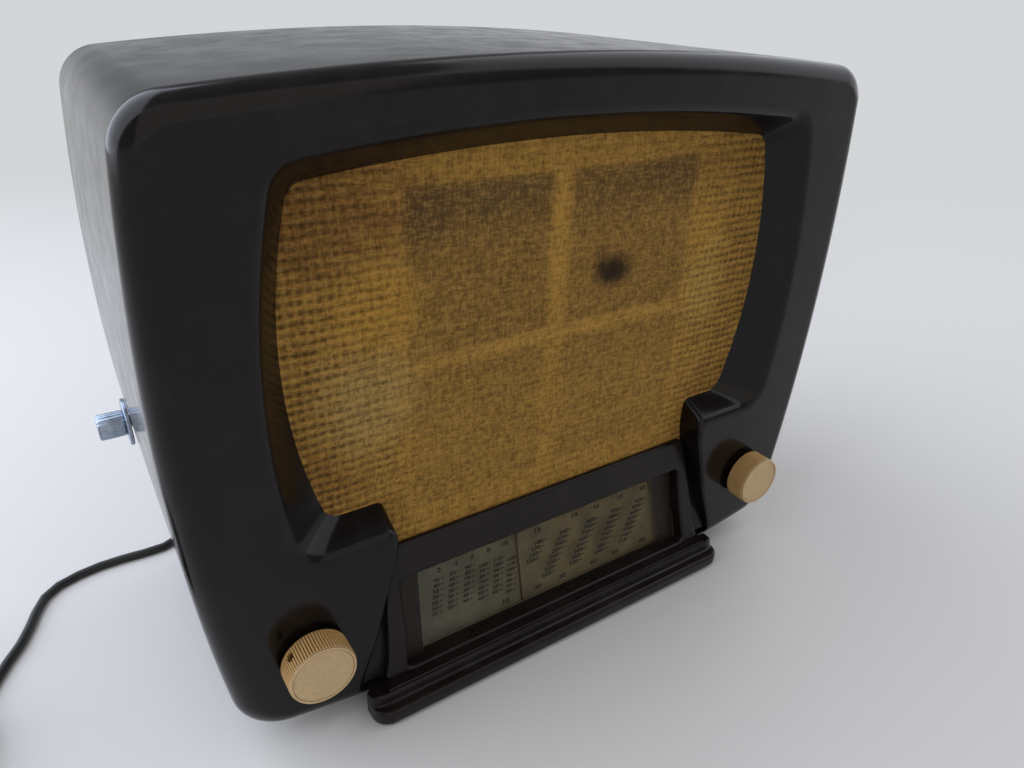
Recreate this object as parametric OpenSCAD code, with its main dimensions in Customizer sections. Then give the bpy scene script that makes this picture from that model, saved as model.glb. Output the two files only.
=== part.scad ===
// Table radio in a bowed phenolic cabinet, with a cloth front, a sloping dial, two front
// knobs, a small side control and a mains lead. The front faces -Y, +Z is up, and the
// origin is on the table under the middle of the set.
// Modules are drawn in the set's own frame: x from its middle plane, y into the depth from
// the faces of the front knobs, z up from the table. set_frame() moves that to the origin.

/* [Cabinet] */
// Width at the widest level
cabinet_w = 373.6; // [368:0.2:400]
// Height of the crown above the table
cabinet_h = 302.6; // [298:0.2:320]
// Depth of the moulding behind its front face
cabinet_d = 169.5; // [166:0.5:190]
// Gap between the belly and the table
belly_gap = 0.4; // [0.2:0.1:1]
// Wall of the moulding
wall = 4; // [3.5:0.1:4.5]
// Level of the widest part above the table
widest_z = 170; // [160:1:180]
// Radius of the bowed sides and belly
side_bow_r = 950; // [900:10:1200]
// Radius of the bowed top
top_bow_r = 1640; // [1200:10:2400]
// Radius of the upper corners
top_corner_r = 20; // [16:1:24]
// Radius of the lower corners
low_corner_r = 28; // [24:1:30]
// Rounding between the front face and the sides
front_edge_r = 10; // [8:0.5:12]
// How far each side draws in towards the back
back_taper = 3.3; // [1:0.1:5]

/* [Cloth opening] */
// Depth from the front face to the cloth
recess_depth = 16.5; // [14:0.5:18]
// Width of the front beside the visible cloth, on each side
side_band = 50.8; // [46:0.2:58]
// Height of the front above the visible cloth
crown_band = 34.1; // [32:0.1:40]
// Level of the shoulders beside the dial bay
shoulder_z = 112; // [108:1:116]
// Radius of the cloth's bowed sides
window_bow_r = 240; // [200:5:300]
// Radius of the cloth's bowed top
window_top_r = 984; // [800:10:1400]
// Corner radius of the cloth
window_corner_r = 9; // [6:1:12]
// How far the bevel spreads at the sides, at the front face
bevel_side = 12.5; // [8:0.5:16]
// How far the bevel spreads at the top
bevel_top = 12; // [8:0.5:14]
// How far the bevel drops at the shoulders
bevel_low = 8; // [6:0.5:10]
// Radius of the bevel's bowed sides
bevel_bow_r = 420; // [360:10:600]
// Radius of the soft edge where the front face turns into the bevel
mouth_round = 9; // [5:0.5:10]

/* [Dial] */
// Half width of the dial bay at the shoulders
bay_top_half = 96.5; // [95:0.5:98]
// Half width of the dial bay at its foot
bay_foot_half = 119.5; // [117:0.5:122]
// Level of the dial bay's foot
bay_foot_z = 15; // [14:0.5:16]
// Angle by which the dial leans back
dial_tilt = 13.2; // [12:0.2:14]
// Depth of the bezel face at its foot
dial_foot_y = 12.7; // [12.2:0.1:13]
// Level of the bezel face at its foot
dial_foot_z = 16.5; // [16.4:0.1:17]
// Height of the bezel along its slope
bezel_h = 71; // [70:0.5:72]
// Height of the bezel's opening along its slope
opening_h = 51.9; // [50:0.1:53]
// Half width of the bezel's opening
opening_half = 93.5; // [92:0.5:94]
// Depth from the bezel's face to the glass
glass_depth = 7.45; // [7.2:0.05:7.6]
// Thickness of the glass
glass_t = 2; // [1.6:0.1:2.2]
// Travel of the pointer
pointer_travel = 132; // [120:1:134]
// How far the pointer stands along its travel in the position shown
pointer_shown = 55; // [0:1:120]
// Length of the plinth bar
plinth_len = 236; // [228:1:240]
// Height of the plinth bar
plinth_h = 14.4; // [14:0.1:14.5]

/* [Front knobs] */
// Knob diameter
knob_d = 31; // [28:0.5:33]
// Knob length
knob_len = 13; // [12:0.5:14]
// Flutes around a knob
flutes = 72; // [48:4:84]
// Distance of each knob's axis from the widest part of the side
knob_inset = 44.9; // [42:0.1:48]
// Height of the knobs
knob_z = 55; // [53:0.5:56]
// Space behind a knob, filled by its felt washer
knob_gap = 2.5; // [2:0.1:3]
// Spindle diameter
spindle_d = 6.35; // [6:0.05:6.5]

/* [Side control] */
// Distance of the side control from the back rim
side_from_back = 17; // [16:0.5:20]
// Height of the side control
side_z = 110; // [100:1:120]
// Diameter of the side knob
side_knob_d = 14; // [12:0.5:16]
// Diameter of the side knob's skirt
side_skirt_d = 26; // [22:0.5:28]
// Reach of the side knob beyond the cabinet's widest part
side_reach = 11.7; // [8:0.1:14]

/* [Loudspeaker] */
// Room left above and below the loudspeaker, from the deck to the top of the cloth
speaker_gap = 15.8; // [15:0.1:20]
// Depth of the basket
basket_d = 38; // [34:1:42]
// Diameter of the magnet
magnet_d = 62; // [56:1:68]
// Length of the magnet
magnet_len = 26; // [22:1:28]
// Thickness of the baffle board
baffle_t = 6; // [5:0.5:6.5]
// Thickness of the speaker cloth
cloth_t = 0.8; // [0.5:0.1:1]

/* [Chassis] */
// Height of the deck
deck_z = 72; // [71:0.5:73]
// Gap between the front face of the cabinet and the chassis
chassis_setback = 44.5; // [44:0.5:47]
// Gap between each end of the chassis and the widest part of the side
chassis_gap = 28.8; // [28:0.1:31]
// Level of the chassis flange
flange_z = 22; // [21:0.5:24]
// Steel thickness
sheet_t = 1.2; // [1:0.1:1.5]
// Gap between the chassis and the rear cover
rear_gap = 9.5; // [9:0.5:12]
// Diameter of the valve bulbs
valve_d = 28; // [24:1:30]
// Height of the valves
valve_h = 82; // [70:1:88]
// Outer radius of the turning vanes
vane_r = 19; // [16:0.5:20]
// Vanes in each half of the gang
vanes = 7; // [4:1:7]
// Thickness of the rear cover
cover_t = 2.5; // [2:0.1:3]

/* [Mains lead] */
// Diameter of the lead
cord_d = 4.8; // [4.4:0.1:5]
// Diameter of the plug
plug_d = 27; // [24:0.5:30]
// Length of the plug's body
plug_len = 40; // [36:1:44]

/* [Hidden] */
$fn = 48;

// Clearance of a turning fit, on the radius
run_fit = 0.05;
// Clearance around parts that must not touch
loose_fit = 0.4;
// Length of the flats that make up the bowed outlines
flat_len = 18;
// Thickness of the slices that the bowed solids are stretched over
slice_t = 0.01;
// Slices in the rounded front edge
edge_steps = 4;

front_y = knob_len + knob_gap;
cloth_y = front_y + recess_depth;
back_y = front_y + cabinet_d;
half_w = cabinet_w / 2;
window_w = cabinet_w - 2 * side_band;
window_top = cabinet_h - crown_band;
knob_x = half_w - knob_inset;
speaker_d = window_top - deck_z - 2 * speaker_gap;
speaker_z = (window_top + deck_z) / 2;
chassis_w = cabinet_w - 2 * chassis_gap;
baffle_y = cloth_y + cloth_t;
baffle_back_y = baffle_y + baffle_t;
cover_inset = 1;
cover_y = back_y - cover_inset - cover_t;
screw_head_h = 1.8;
chassis_y = front_y + chassis_setback;
chassis_back_y = cover_y - rear_gap;
chassis_half = chassis_w / 2;
depth = cover_y + cover_t + screw_head_h;
left_reach = half_w + side_reach;

// Half width of the cabinet at a level and a depth
function level_half(z) = half_w - side_bow_r
    + sqrt(side_bow_r * side_bow_r - (z - widest_z) * (z - widest_z));
function taper_at(y) = 1 - back_taper / half_w * (y - front_y) / cabinet_d;
// Height of the belly above the table at a distance from the middle plane
function belly_z(x) = belly_gap + side_bow_r - sqrt(side_bow_r * side_bow_r - x * x);
// Height of the crown above the table at a distance from the middle plane
function crown_z(x) = cabinet_h - top_bow_r + sqrt(top_bow_r * top_bow_r - x * x);
// Number of flats on a bow of the given radius
function bow_fn(r) = round(2 * PI * r / flat_len);

module set_frame() {
    translate([(left_reach - half_w) / 2, -depth / 2, 0]) children();
}

// A flat outline of x and z, made solid from depth y onwards
module from_depth(y, t) {
    translate([0, y + t, 0]) rotate([90, 0, 0]) linear_extrude(t) children();
}

// A flat outline of y and z, made solid from x onwards
module from_side(x, t) {
    translate([x, 0, 0]) rotate([90, 0, 90]) linear_extrude(t) children();
}

// A cylinder along y
module along_y(x, y, z, r, len) {
    translate([x, y, z]) rotate([-90, 0, 0]) cylinder(r = r, h = len);
}

// A block given by its corner and size, centred in x
module centred_block(size, at) {
    translate([at[0] - size[0] / 2, at[1], at[2]]) cube(size);
}

// The dial's own frame: z runs up its slope, y goes into the depth
module dial_frame() {
    translate([0, dial_foot_y, dial_foot_z]) rotate([-dial_tilt, 0, 0]) children();
}

module softened(r) {
    offset(r = r) offset(delta = -r) children();
}

module bow_pair(half, mid_z, r) {
    intersection() {
        translate([r - half, mid_z]) circle(r, $fn = bow_fn(r));
        translate([half - r, mid_z]) circle(r, $fn = bow_fn(r));
    }
}

module cabinet_bows() {
    intersection() {
        bow_pair(half_w, widest_z, side_bow_r);
        translate([0, cabinet_h - top_bow_r]) circle(top_bow_r, $fn = bow_fn(top_bow_r));
        translate([0, belly_gap + side_bow_r]) circle(side_bow_r, $fn = bow_fn(side_bow_r));
    }
}

module cabinet_outline() {
    intersection() {
        softened(top_corner_r) cabinet_bows();
        translate([-cabinet_w, widest_z]) square([2 * cabinet_w, cabinet_h]);
    }
    intersection() {
        softened(low_corner_r) cabinet_bows();
        translate([-cabinet_w, widest_z - cabinet_h]) square([2 * cabinet_w, cabinet_h]);
    }
}

// The cabinet's outer form, moved in by an inset and open to an extra length at the back
module cabinet_form(inset, extra) {
    edge = front_edge_r - inset;
    hull() {
        for (k = [0:edge_steps])
            from_depth(front_y + inset + edge * (1 - cos(90 * k / edge_steps)), slice_t)
                offset(delta = -inset - edge * (1 - sin(90 * k / edge_steps)))
                    cabinet_outline($fn = 32);
        from_depth(back_y + extra - slice_t, slice_t)
            scale([taper_at(back_y + extra), 1])
                offset(delta = -inset) cabinet_outline($fn = 32);
    }
}

window_mid_z = widest_z + 20;
bevel_corner = 5;
corner_steps = 6;
side_steps = 14;
crown_steps = 9;

function arc_points(centre, r, from, to, steps) = [for (k = [0:steps])
    let (a = from + (to - from) * k / steps) centre + r * [cos(a), sin(a)]];
function direction(from, to) = atan2(to[1] - from[1], to[0] - from[0]);
// Where two circles meet, on the right of the way from the first centre to the second
function meeting(c1, r1, c2, r2) =
    let (way = (c2 - c1) / norm(c2 - c1),
         along = (r1 * r1 - r2 * r2 + pow(norm(c2 - c1), 2)) / (2 * norm(c2 - c1)))
    c1 + along * way + sqrt(r1 * r1 - along * along) * [-way[1], way[0]];

// Right half of an opening with a bowed side and top and a straight foot, from its foot
// round two rounded corners to the crown
function opening_side(half, mid_z, side_r, top_z, low_z, r) =
    let (side_c = [half - side_r, mid_z],
         top_c = [0, top_z - window_top_r],
         up_c = meeting(side_c, side_r - r, top_c, window_top_r - r),
         low_c = [side_c[0] + sqrt(pow(side_r - r, 2) - pow(low_z + r - mid_z, 2)), low_z + r],
         low_a = direction(side_c, low_c),
         up_a = direction(side_c, up_c),
         top_a = direction(top_c, up_c),
         inner_a = (90 - top_a) / (crown_steps + 0.5))
    concat(arc_points(low_c, r, -90, low_a, corner_steps),
           arc_points(side_c, side_r, low_a, up_a, side_steps),
           arc_points(up_c, r, up_a, top_a, corner_steps),
           arc_points(top_c, window_top_r, top_a + inner_a, 90 - inner_a / 2, crown_steps - 1));

function mirrored(side) = concat(side, [for (k = [len(side) - 1:-1:0]) [-side[k][0], side[k][1]]]);

// Points of the opening between its bevel at the front face, 0, and the visible cloth, 1,
// spread by a margin
function opening_points(t, grow) = let (left = 1 - t)
    mirrored(opening_side(window_w / 2 + bevel_side * left + grow,
                          widest_z * left + window_mid_z * t,
                          1 / (left / bevel_bow_r + t / window_bow_r) + grow,
                          window_top + bevel_top * left + grow,
                          shoulder_z - bevel_low * left - grow,
                          window_corner_r + bevel_corner * left + grow));

module window_outline() polygon(opening_points(1, 0));
module bevel_outline() polygon(opening_points(0, 0));

// Solid over outlines of as many points, each given with its depth
module lofted(rings) {
    n = len(rings[0][1]);
    last = (len(rings) - 1) * n;
    polyhedron([for (r = rings) for (p = r[1]) [p[0], r[0], p[1]]],
               concat([[for (k = [n - 1:-1:0]) k]], [[for (k = [0:n - 1]) last + k]],
                      [for (b = [0:n:last - 1]) for (k = [0:n - 1]) let (m = (k + 1) % n)
                          each [[b + k, b + m, b + n + m], [b + k, b + n + m, b + n + k]]]));
}

mouth_steps = 4;
mouth_turn = atan(recess_depth / bevel_side);
mouth_reach = mouth_round * tan(mouth_turn / 2);

// The opening's hollow, whose mouth flares round into the front face
module opening_hollow() {
    lofted(concat(
        [[front_y - 2, opening_points(0, mouth_reach)]],
        [for (k = [0:mouth_steps])
            let (a = mouth_turn * k / mouth_steps, y = mouth_round * (1 - cos(a)))
            [front_y + y, opening_points(y / recess_depth, mouth_reach - mouth_round * sin(a)
                                         + bevel_side / recess_depth * y)]],
        [[cloth_y, opening_points(1, 0)], [cloth_y + 3, opening_points(1, 0)]]));
}

// Half outline of the dial bay, from its foot up, spread by a margin
function bay_side(grow) = [
    [bay_foot_half + grow, bay_foot_z],
    [bay_foot_half - 2.5 + grow, bay_foot_z + 10],
    [bay_foot_half - 9.5 + grow, bay_foot_z + 29],
    [bay_top_half + 0.3 + grow, shoulder_z - 20],
    [bay_top_half + grow, shoulder_z + 4]];

module bay_outline(grow) polygon(mirrored(bay_side(grow)));

rim_w = 14;
baffle_margin = 12;
baffle_low = 79;
boss_offset = 8;
boss_d = 9;
baffle_screw_d = 3;
baffle_screw_len = 13;

// Places of the baffle screws around the cloth
baffle_screw_at = [
    for (s = [-1, 1]) for (p = [
        [window_w / 2 + boss_offset, window_mid_z],
        [window_w * 0.36, window_top + boss_offset - 5],
        [window_w * 0.42, shoulder_z - boss_offset]]) [s * p[0], p[1]]];

post_x = half_w - 66.8;
post_d = 14;
post_inset = 16;
post_y = [chassis_y + post_inset, chassis_back_y - post_inset];
bolt_d = 4;
bolt_head_d = 8;
bolt_head_h = 3;
foot_d = 20;
foot_hole_d = 11;
// The feet end where the belly is lowest above them, and pads of the moulding meet them
foot_h = belly_z(post_x - foot_d / 2);

cover_lug_d = 10;
cover_lug_len = 16;
cover_lug_inset = wall + 3;
cover_screw_d = 3;
cover_top_x = 86;
cover_low_z = 48;
cover_high_z = cabinet_h - 57.6;
// Places of the rear cover's screws
cover_screw_at = [
    for (s = [-1, 1]) for (p = [
        [level_half(cover_low_z) * taper_at(cover_y) - cover_lug_inset, cover_low_z],
        [level_half(cover_high_z) * taper_at(cover_y) - cover_lug_inset, cover_high_z],
        [cover_top_x, crown_z(cover_top_x) - cover_lug_inset]]) [s * p[0], p[1]]];

side_y = back_y - side_from_back;
side_wall_x = -level_half(side_z) * taper_at(side_y);
vent_w = 5;
vent_len = 34;
vent_reach = 60;
vent_pitch = 24;
vent_y = [chassis_y + 10, chassis_y + 62];

module cabinet() {
    color("#241b19") set_frame() difference() {
        union() {
            difference() {
                cabinet_form(0, 0);
                cabinet_form(wall, 2);
            }
            hull() {
                from_depth(front_y + wall / 2, slice_t) offset(delta = wall) bevel_outline();
                from_depth(cloth_y - slice_t, slice_t) offset(delta = rim_w) window_outline();
            }
            intersection() {
                from_depth(front_y + wall / 2, recess_depth - wall / 2)
                    polygon(mirrored(concat([[bay_foot_half + wall, bay_foot_z]],
                                            bay_side(wall))));
                cabinet_form(wall / 2, 0);
            }
            for (x = [-post_x, post_x]) for (y = post_y) {
                translate([x, y, belly_z(x) + wall / 2])
                    cylinder(d = post_d, h = flange_z - belly_z(x) - wall / 2);
                translate([x, y, foot_h])
                    cylinder(d = foot_d + 4, h = belly_z(x) + wall / 2 - foot_h);
            }
            for (p = cover_screw_at)
                along_y(p[0], cover_y - cover_lug_len, p[1], cover_lug_d / 2, cover_lug_len);
        }
        opening_hollow();
        from_depth(front_y - 2, recess_depth + 6) bay_outline(0);
        for (x = [-knob_x, knob_x])
            along_y(x, front_y - 1, knob_z, spindle_d / 2 + 1.8, wall + 2);
        translate([side_wall_x - 4, side_y, side_z]) rotate([0, 90, 0])
            cylinder(d = spindle_d + 3, h = wall + 8);
        for (p = baffle_screw_at)
            along_y(p[0], cloth_y - baffle_screw_len + baffle_t, p[1],
                    baffle_screw_d / 2, baffle_screw_len);
        for (x = [-post_x, post_x]) for (y = post_y)
            translate([x, y, 0]) cylinder(d = bolt_d + 0.6, h = flange_z + 1);
        for (p = cover_screw_at)
            along_y(p[0], cover_y - cover_lug_len + 3, p[1], cover_screw_d / 2, cover_lug_len);
        for (x = [-vent_reach:vent_pitch:vent_reach]) for (y = vent_y)
            translate([x - vent_w / 2, y, -1]) cube([vent_w, vent_len, 8]);
    }
}

// Section of the plinth bar, standing before the front face
module plinth_section() {
    top = belly_gap + 0.2 + plinth_h;
    low = belly_gap + 0.2;
    intersection() {
        union() {
            translate([3.2, low + 3.2]) circle(3.2);
            translate([3.2, low]) square([front_y - 3.2, plinth_h]);
            translate([0, low + 3.2]) square([front_y, plinth_h - 8.7]);
            translate([3.2, low + plinth_h - 5.5]) circle(3.2);
        }
        polygon([[0, low], [front_y, low], [front_y, top], [8, top], [7, top - 1],
                 [6.2, top - 4.6], [5, top - 5], [0, top - 5.6]]);
    }
}

module plinth_bar() {
    color("#2a1d19") set_frame() intersection() {
        from_side(-plinth_len / 2, plinth_len) plinth_section();
        translate([0, 0, -1]) linear_extrude(cabinet_h)
            softened(6) translate([-plinth_len / 2, 0]) square([plinth_len, front_y + 12]);
    }
}

bezel_flange_t = 2;
bezel_lip_t = 2.8;

// Outer outline of the bezel's raised frame, along its slope
function bezel_side() = [
    [bay_foot_half - 11, 0], [bay_foot_half - 13.5, 7], [bay_foot_half - 15.5, 16],
    [bay_foot_half - 17.2, 40], [bay_top_half + 3, 58], [bay_top_half + 2.2, bezel_h]];

module bezel_opening() {
    softened(3)
        polygon(mirrored([[opening_half + 1.8, 2.3], [opening_half, 24],
                          [opening_half - 0.4, opening_h]]));
}

module dial_bezel() {
    sill_top = dial_foot_z + 1;
    color("#1f1816") set_frame() {
        dial_frame() difference() {
            union() {
                intersection() {
                    from_depth(0, glass_depth - 0.05) softened(6) polygon(mirrored(bezel_side()));
                    translate([-half_w, 0, 0])
                        cube([cabinet_w, glass_depth, opening_h + 4]);
                }
                from_depth(0, bezel_lip_t) softened(6) polygon(mirrored(bezel_side()));
                intersection() {
                    from_depth(glass_depth - 0.05 - bezel_flange_t, bezel_flange_t)
                        polygon(mirrored([for (p = bay_side(-loose_fit))
                            [p[0] - 0.3, (p[1] - dial_foot_z) / cos(dial_tilt) + 3.4]]));
                    translate([-half_w, 0, 0]) cube([cabinet_w, glass_depth, opening_h + 4]);
                }
            }
            from_depth(-1, glass_depth + 2) bezel_opening();
        }
        difference() {
            from_side(-bay_foot_half + 10.5, 2 * bay_foot_half - 21)
                polygon([[8, bay_foot_z + 0.1], [front_y + 4.2, bay_foot_z + 0.1],
                         [front_y + 4.2, sill_top], [9.2, bay_foot_z + 1.2],
                         [8.6, bay_foot_z + 1.6], [8, bay_foot_z + 1.2]]);
            dial_frame() translate([-half_w, glass_depth - 0.02, -3])
                cube([cabinet_w, 20, 12]);
        }
    }
}

glass_half = opening_half + 3.5;
backing_gap = 4.6;
backing_t = 1.5;
backing_y = glass_depth + glass_t + backing_gap;
glass_h = opening_h + 4;

module scale_glass() {
    color("#5d6048") set_frame() dial_frame()
        translate([-glass_half, glass_depth, 0.3]) cube([2 * glass_half, glass_t, glass_h]);
}

// Tray behind the glass, whose turned ends hold the glass against the bezel
module dial_backing() {
    color("#c9c2a4") set_frame() dial_frame() {
        translate([-glass_half, backing_y, 0.3]) cube([2 * glass_half, backing_t, opening_h]);
        for (x = [-glass_half, glass_half - backing_t])
            translate([x, glass_depth + glass_t, 0.3])
                cube([backing_t, backing_gap + backing_t, opening_h]);
    }
}

// Outline of the board behind the cloth: the cloth's outline with a margin, and a tongue
// that reaches down behind the dial bezel
module board_outline(margin) {
    offset(delta = margin, $fn = 32) window_outline();
    translate([-bay_top_half - margin / 2, baffle_low + baffle_margin - margin])
        square([2 * bay_top_half + margin, shoulder_z - baffle_low]);
}

module speaker_cloth() {
    color("#a4824a") set_frame() from_depth(cloth_y, cloth_t)
        difference() {
            board_outline(baffle_margin - 1);
            for (p = baffle_screw_at) translate(p) circle(d = baffle_screw_d + 1);
        }
}

light_low = 100;
light_high = window_top - 14.5;
light_bar = 8;
light_post_x = -3;
light_post_w = 12;
light_half = 80;
light_h = (light_high - light_low - light_bar) / 2;
// The four windows of the baffle between a post and a bar: left edge, lower edge, width, height
baffle_windows = [for (low = [light_low, light_high - light_h])
    each [[-light_half, low, light_half + light_post_x - light_post_w / 2, light_h],
          [light_post_x + light_post_w / 2, low, light_half - light_post_x - light_post_w / 2,
           light_h]]];

module baffle_board() {
    color("#8c6a45") set_frame() difference() {
        from_depth(baffle_y, baffle_t) board_outline(baffle_margin);
        for (w = baffle_windows)
            translate([w[0], baffle_y - 1, w[1]]) cube([w[2], baffle_t + 2, w[3]]);
        for (p = baffle_screw_at)
            along_y(p[0], baffle_y - 1, p[1], baffle_screw_d / 2 + 0.2, baffle_t + 2);
        for (p = speaker_bolt_at)
            along_y(p[0], baffle_y - 1, p[1], speaker_bolt_d / 2, baffle_t + 2);
    }
}

module baffle_screws() {
    color("#8a8578") set_frame() for (p = baffle_screw_at) {
        along_y(p[0], cloth_y - baffle_screw_len + baffle_t + 3, p[1], baffle_screw_d / 2 - 0.1,
                baffle_back_y - cloth_y + baffle_screw_len - baffle_t - 3);
        difference() {
            along_y(p[0], baffle_back_y, p[1], baffle_screw_d, 1.6);
            translate([p[0] - 4, baffle_back_y + 0.9, p[1] - 0.4]) cube([8, 1, 0.8]);
        }
    }
}

speaker_bolt_d = 4;
basket_rim_w = 9;
basket_rim_t = 3;
basket_t = 1.2;
basket_neck_r = magnet_d / 2 - 2;
speaker_bolt_at = [for (a = [45, 135, 225, 315])
    [(speaker_d / 2 - 4) * cos(a), speaker_z + (speaker_d / 2 - 4) * sin(a)]];

// A body turned about the speaker's axis, from a profile of radius and depth
module speaker_turned() {
    translate([0, baffle_back_y, speaker_z]) rotate([-90, 0, 0]) rotate_extrude($fn = 96) children();
}

module speaker_basket() {
    rim_r = speaker_d / 2;
    color("#5c5f5c") set_frame() difference() {
        speaker_turned() polygon([
            [rim_r - basket_rim_w, 0], [rim_r, 0], [rim_r, basket_rim_t],
            [rim_r - basket_rim_w + basket_t, basket_rim_t],
            [basket_neck_r + basket_t, basket_d], [0, basket_d],
            [0, basket_d - basket_t], [basket_neck_r, basket_d - basket_t],
            [rim_r - basket_rim_w, basket_rim_t]]);
        for (p = speaker_bolt_at)
            along_y(p[0], baffle_back_y - 1, p[1], speaker_bolt_d / 2, basket_rim_t + 2);
        for (a = [0:60:300])
            translate([0, baffle_back_y + basket_d * 0.55, speaker_z]) rotate([0, a, 0])
                translate([0, -6, basket_neck_r + 6]) cube([22, 12, 40], center = false);
    }
}

module speaker_cone() {
    rim_r = speaker_d / 2 - basket_rim_w - 1.5;
    color("#3a342c") set_frame() speaker_turned() polygon([
        [rim_r, 0.2], [rim_r - 5, 1.6], [14, basket_d * 0.68], [0, basket_d * 0.62],
        [0, basket_d * 0.62 + 1], [14, basket_d * 0.68 + 1], [rim_r - 5, 2.8], [rim_r, 1.4]]);
}

// Countersunk heads lie in the board under the cloth, nuts hold the basket's rim
module speaker_bolts() {
    color("#8a8578") set_frame() for (p = speaker_bolt_at) {
        along_y(p[0], baffle_y + 0.1, p[1], speaker_bolt_d / 2,
                baffle_t + basket_rim_t + 5);
        along_y(p[0], baffle_back_y + basket_rim_t, p[1], speaker_bolt_d / 2 + 1.6, 3, $fn = 6);
    }
}

magnet_y = baffle_back_y + basket_d;

module speaker_magnet() {
    color("#6b6257") set_frame() {
        along_y(0, magnet_y, speaker_z, magnet_d / 2, 4);
        along_y(0, magnet_y + 4, speaker_z, magnet_d / 2 - 5, magnet_len - 8);
        along_y(0, magnet_y + magnet_len - 4, speaker_z, magnet_d / 2, 4);
    }
}

module output_transformer() {
    base_z = speaker_z + magnet_d / 2;
    color("#4f4a44") set_frame() {
        centred_block([44, magnet_len, 2], [0, magnet_y, base_z]);
        centred_block([44, 16, 32], [0, magnet_y + 5, base_z + 2]);
        centred_block([26, 24, 20], [0, magnet_y + 1, base_z + 8]);
    }
}

cover_slot_w = 3.2;
cover_slot_len = 26;
cord_x = -70;
cord_z = 36;
socket_x = chassis_half - 63;
socket_z = 46;

module rear_cover() {
    color("#3b2c20") set_frame() difference() {
        from_depth(cover_y, cover_t) scale([taper_at(cover_y), 1])
            offset(delta = -wall - loose_fit) cabinet_outline($fn = 32);
        for (row = [0:3]) for (x = [-130:13:130])
            translate([x - cover_slot_w / 2, cover_y - 1, 112 + row * 40])
                cube([cover_slot_w, cover_t + 2, cover_slot_len]);
        for (p = cover_screw_at)
            along_y(p[0], cover_y - 1, p[1], cover_screw_d / 2 + 0.2, cover_t + 2);
        along_y(cord_x, cover_y - 1, cord_z, relief_d / 2 + loose_fit, cover_t + 2);
        translate([socket_x - 26, cover_y - 1, socket_z - 11]) cube([52, cover_t + 2, 22]);
    }
}

module rear_cover_screws() {
    color("#a89a72") set_frame() for (p = cover_screw_at) {
        along_y(p[0], cover_y - 8, p[1], cover_screw_d / 2 - 0.1, 8 + cover_t);
        difference() {
            along_y(p[0], cover_y + cover_t, p[1], cover_screw_d, screw_head_h);
            translate([p[0] - 4, cover_y + cover_t + 1, p[1] - 0.4]) cube([8, 2, 0.8]);
        }
    }
}

flange_w = 26;
valve_y = chassis_back_y - 22;
valve_x = [-52, -14, 24, 62, 100];
socket_d = 30;
socket_h = 9;
gang_x = knob_x - 23.9;
gang_z = deck_z + 31;

// Folded steel deck with front, back and side aprons and flanges along its feet
module chassis() {
    apron_h = deck_z - flange_z;
    len_y = chassis_back_y - chassis_y;
    color("#8f8f88") set_frame() difference() {
        union() {
            centred_block([chassis_w, len_y, sheet_t], [0, chassis_y, deck_z - sheet_t]);
            centred_block([chassis_w, sheet_t, apron_h], [0, chassis_y, flange_z]);
            centred_block([chassis_w, sheet_t, apron_h], [0, chassis_back_y - sheet_t, flange_z]);
            for (x = [-chassis_half + sheet_t / 2, chassis_half - sheet_t / 2])
                centred_block([sheet_t, len_y, apron_h], [x, chassis_y, flange_z]);
            centred_block([chassis_w, flange_w, sheet_t], [0, chassis_y, flange_z]);
            centred_block([chassis_w, flange_w, sheet_t],
                          [0, chassis_back_y - flange_w, flange_z]);
        }
        for (x = [-post_x, post_x]) for (y = post_y)
            translate([x, y, flange_z - 1]) cylinder(d = bolt_d, h = sheet_t + 2);
        for (x = valve_x)
            translate([x, valve_y, deck_z - 3]) cylinder(d = socket_d - 8, h = 6);
        for (x = [-knob_x, knob_x])
            along_y(x, chassis_y - 1, knob_z, bush_d / 2, sheet_t + 2);
        along_y(cord_x, chassis_back_y - 3, cord_z, relief_neck_d / 2, 6);
        for (x = lamp_x)
            along_y(x, chassis_y - 1, lamp_z, lamp_stem_d / 2, sheet_t + 2);
        translate([socket_x - 22, chassis_back_y - 3, socket_z - 8]) cube([44, 6, 16]);
    }
}

module chassis_bolts() {
    color("#8d8a80") set_frame() for (x = [-post_x, post_x]) for (y = post_y) {
        translate([x, y, foot_h - bolt_head_h]) cylinder(d = bolt_head_d, h = bolt_head_h);
        translate([x, y, foot_h])
            cylinder(d = bolt_d - 0.1, h = flange_z - foot_h + 2 * bolt_head_h);
        translate([x, y, flange_z + sheet_t]) cylinder(d = bolt_head_d, h = 3.2, $fn = 6);
    }
}

module rubber_feet() {
    color("#191817") set_frame() for (x = [-post_x, post_x]) for (y = post_y)
        translate([x, y, 0]) difference() {
            cylinder(d = foot_d, h = foot_h);
            translate([0, 0, -1]) cylinder(d = foot_hole_d, h = foot_h + 2);
        }
}

transformer_x = 76.8 - half_w;
transformer_set = 30;
transformer_y = chassis_y + transformer_set;
transformer_h = 58;
core_w = 60;
core_d = 24;
winding_w = 40;
winding_d = 52;
winding_rise = 10;
core_y = transformer_y + (winding_d - core_d) / 2;
tab_w = 72;
tab_t = 2;

module mains_transformer() {
    color("#57534c") set_frame() difference() {
        union() {
            centred_block([core_w, core_d, transformer_h], [transformer_x, core_y, deck_z]);
            centred_block([winding_w, winding_d, transformer_h - 2 * winding_rise],
                          [transformer_x, transformer_y, deck_z + winding_rise]);
            centred_block([tab_w, core_d, tab_t], [transformer_x, core_y, deck_z]);
        }
        for (x = [-1, 1])
            translate([transformer_x + x * (core_w + tab_w) / 4, core_y + core_d / 2, deck_z - 1])
                cylinder(d = bolt_d, h = tab_t + 2);
    }
}

module valve_sockets() {
    color("#2b211c") set_frame() for (x = valve_x)
        translate([x, valve_y, deck_z]) difference() {
            cylinder(d = socket_d, h = socket_h);
            translate([0, 0, 3]) cylinder(d = valve_base_d + 0.6, h = socket_h);
        }
}

valve_base_d = 24;
valve_base_h = 16;

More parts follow.
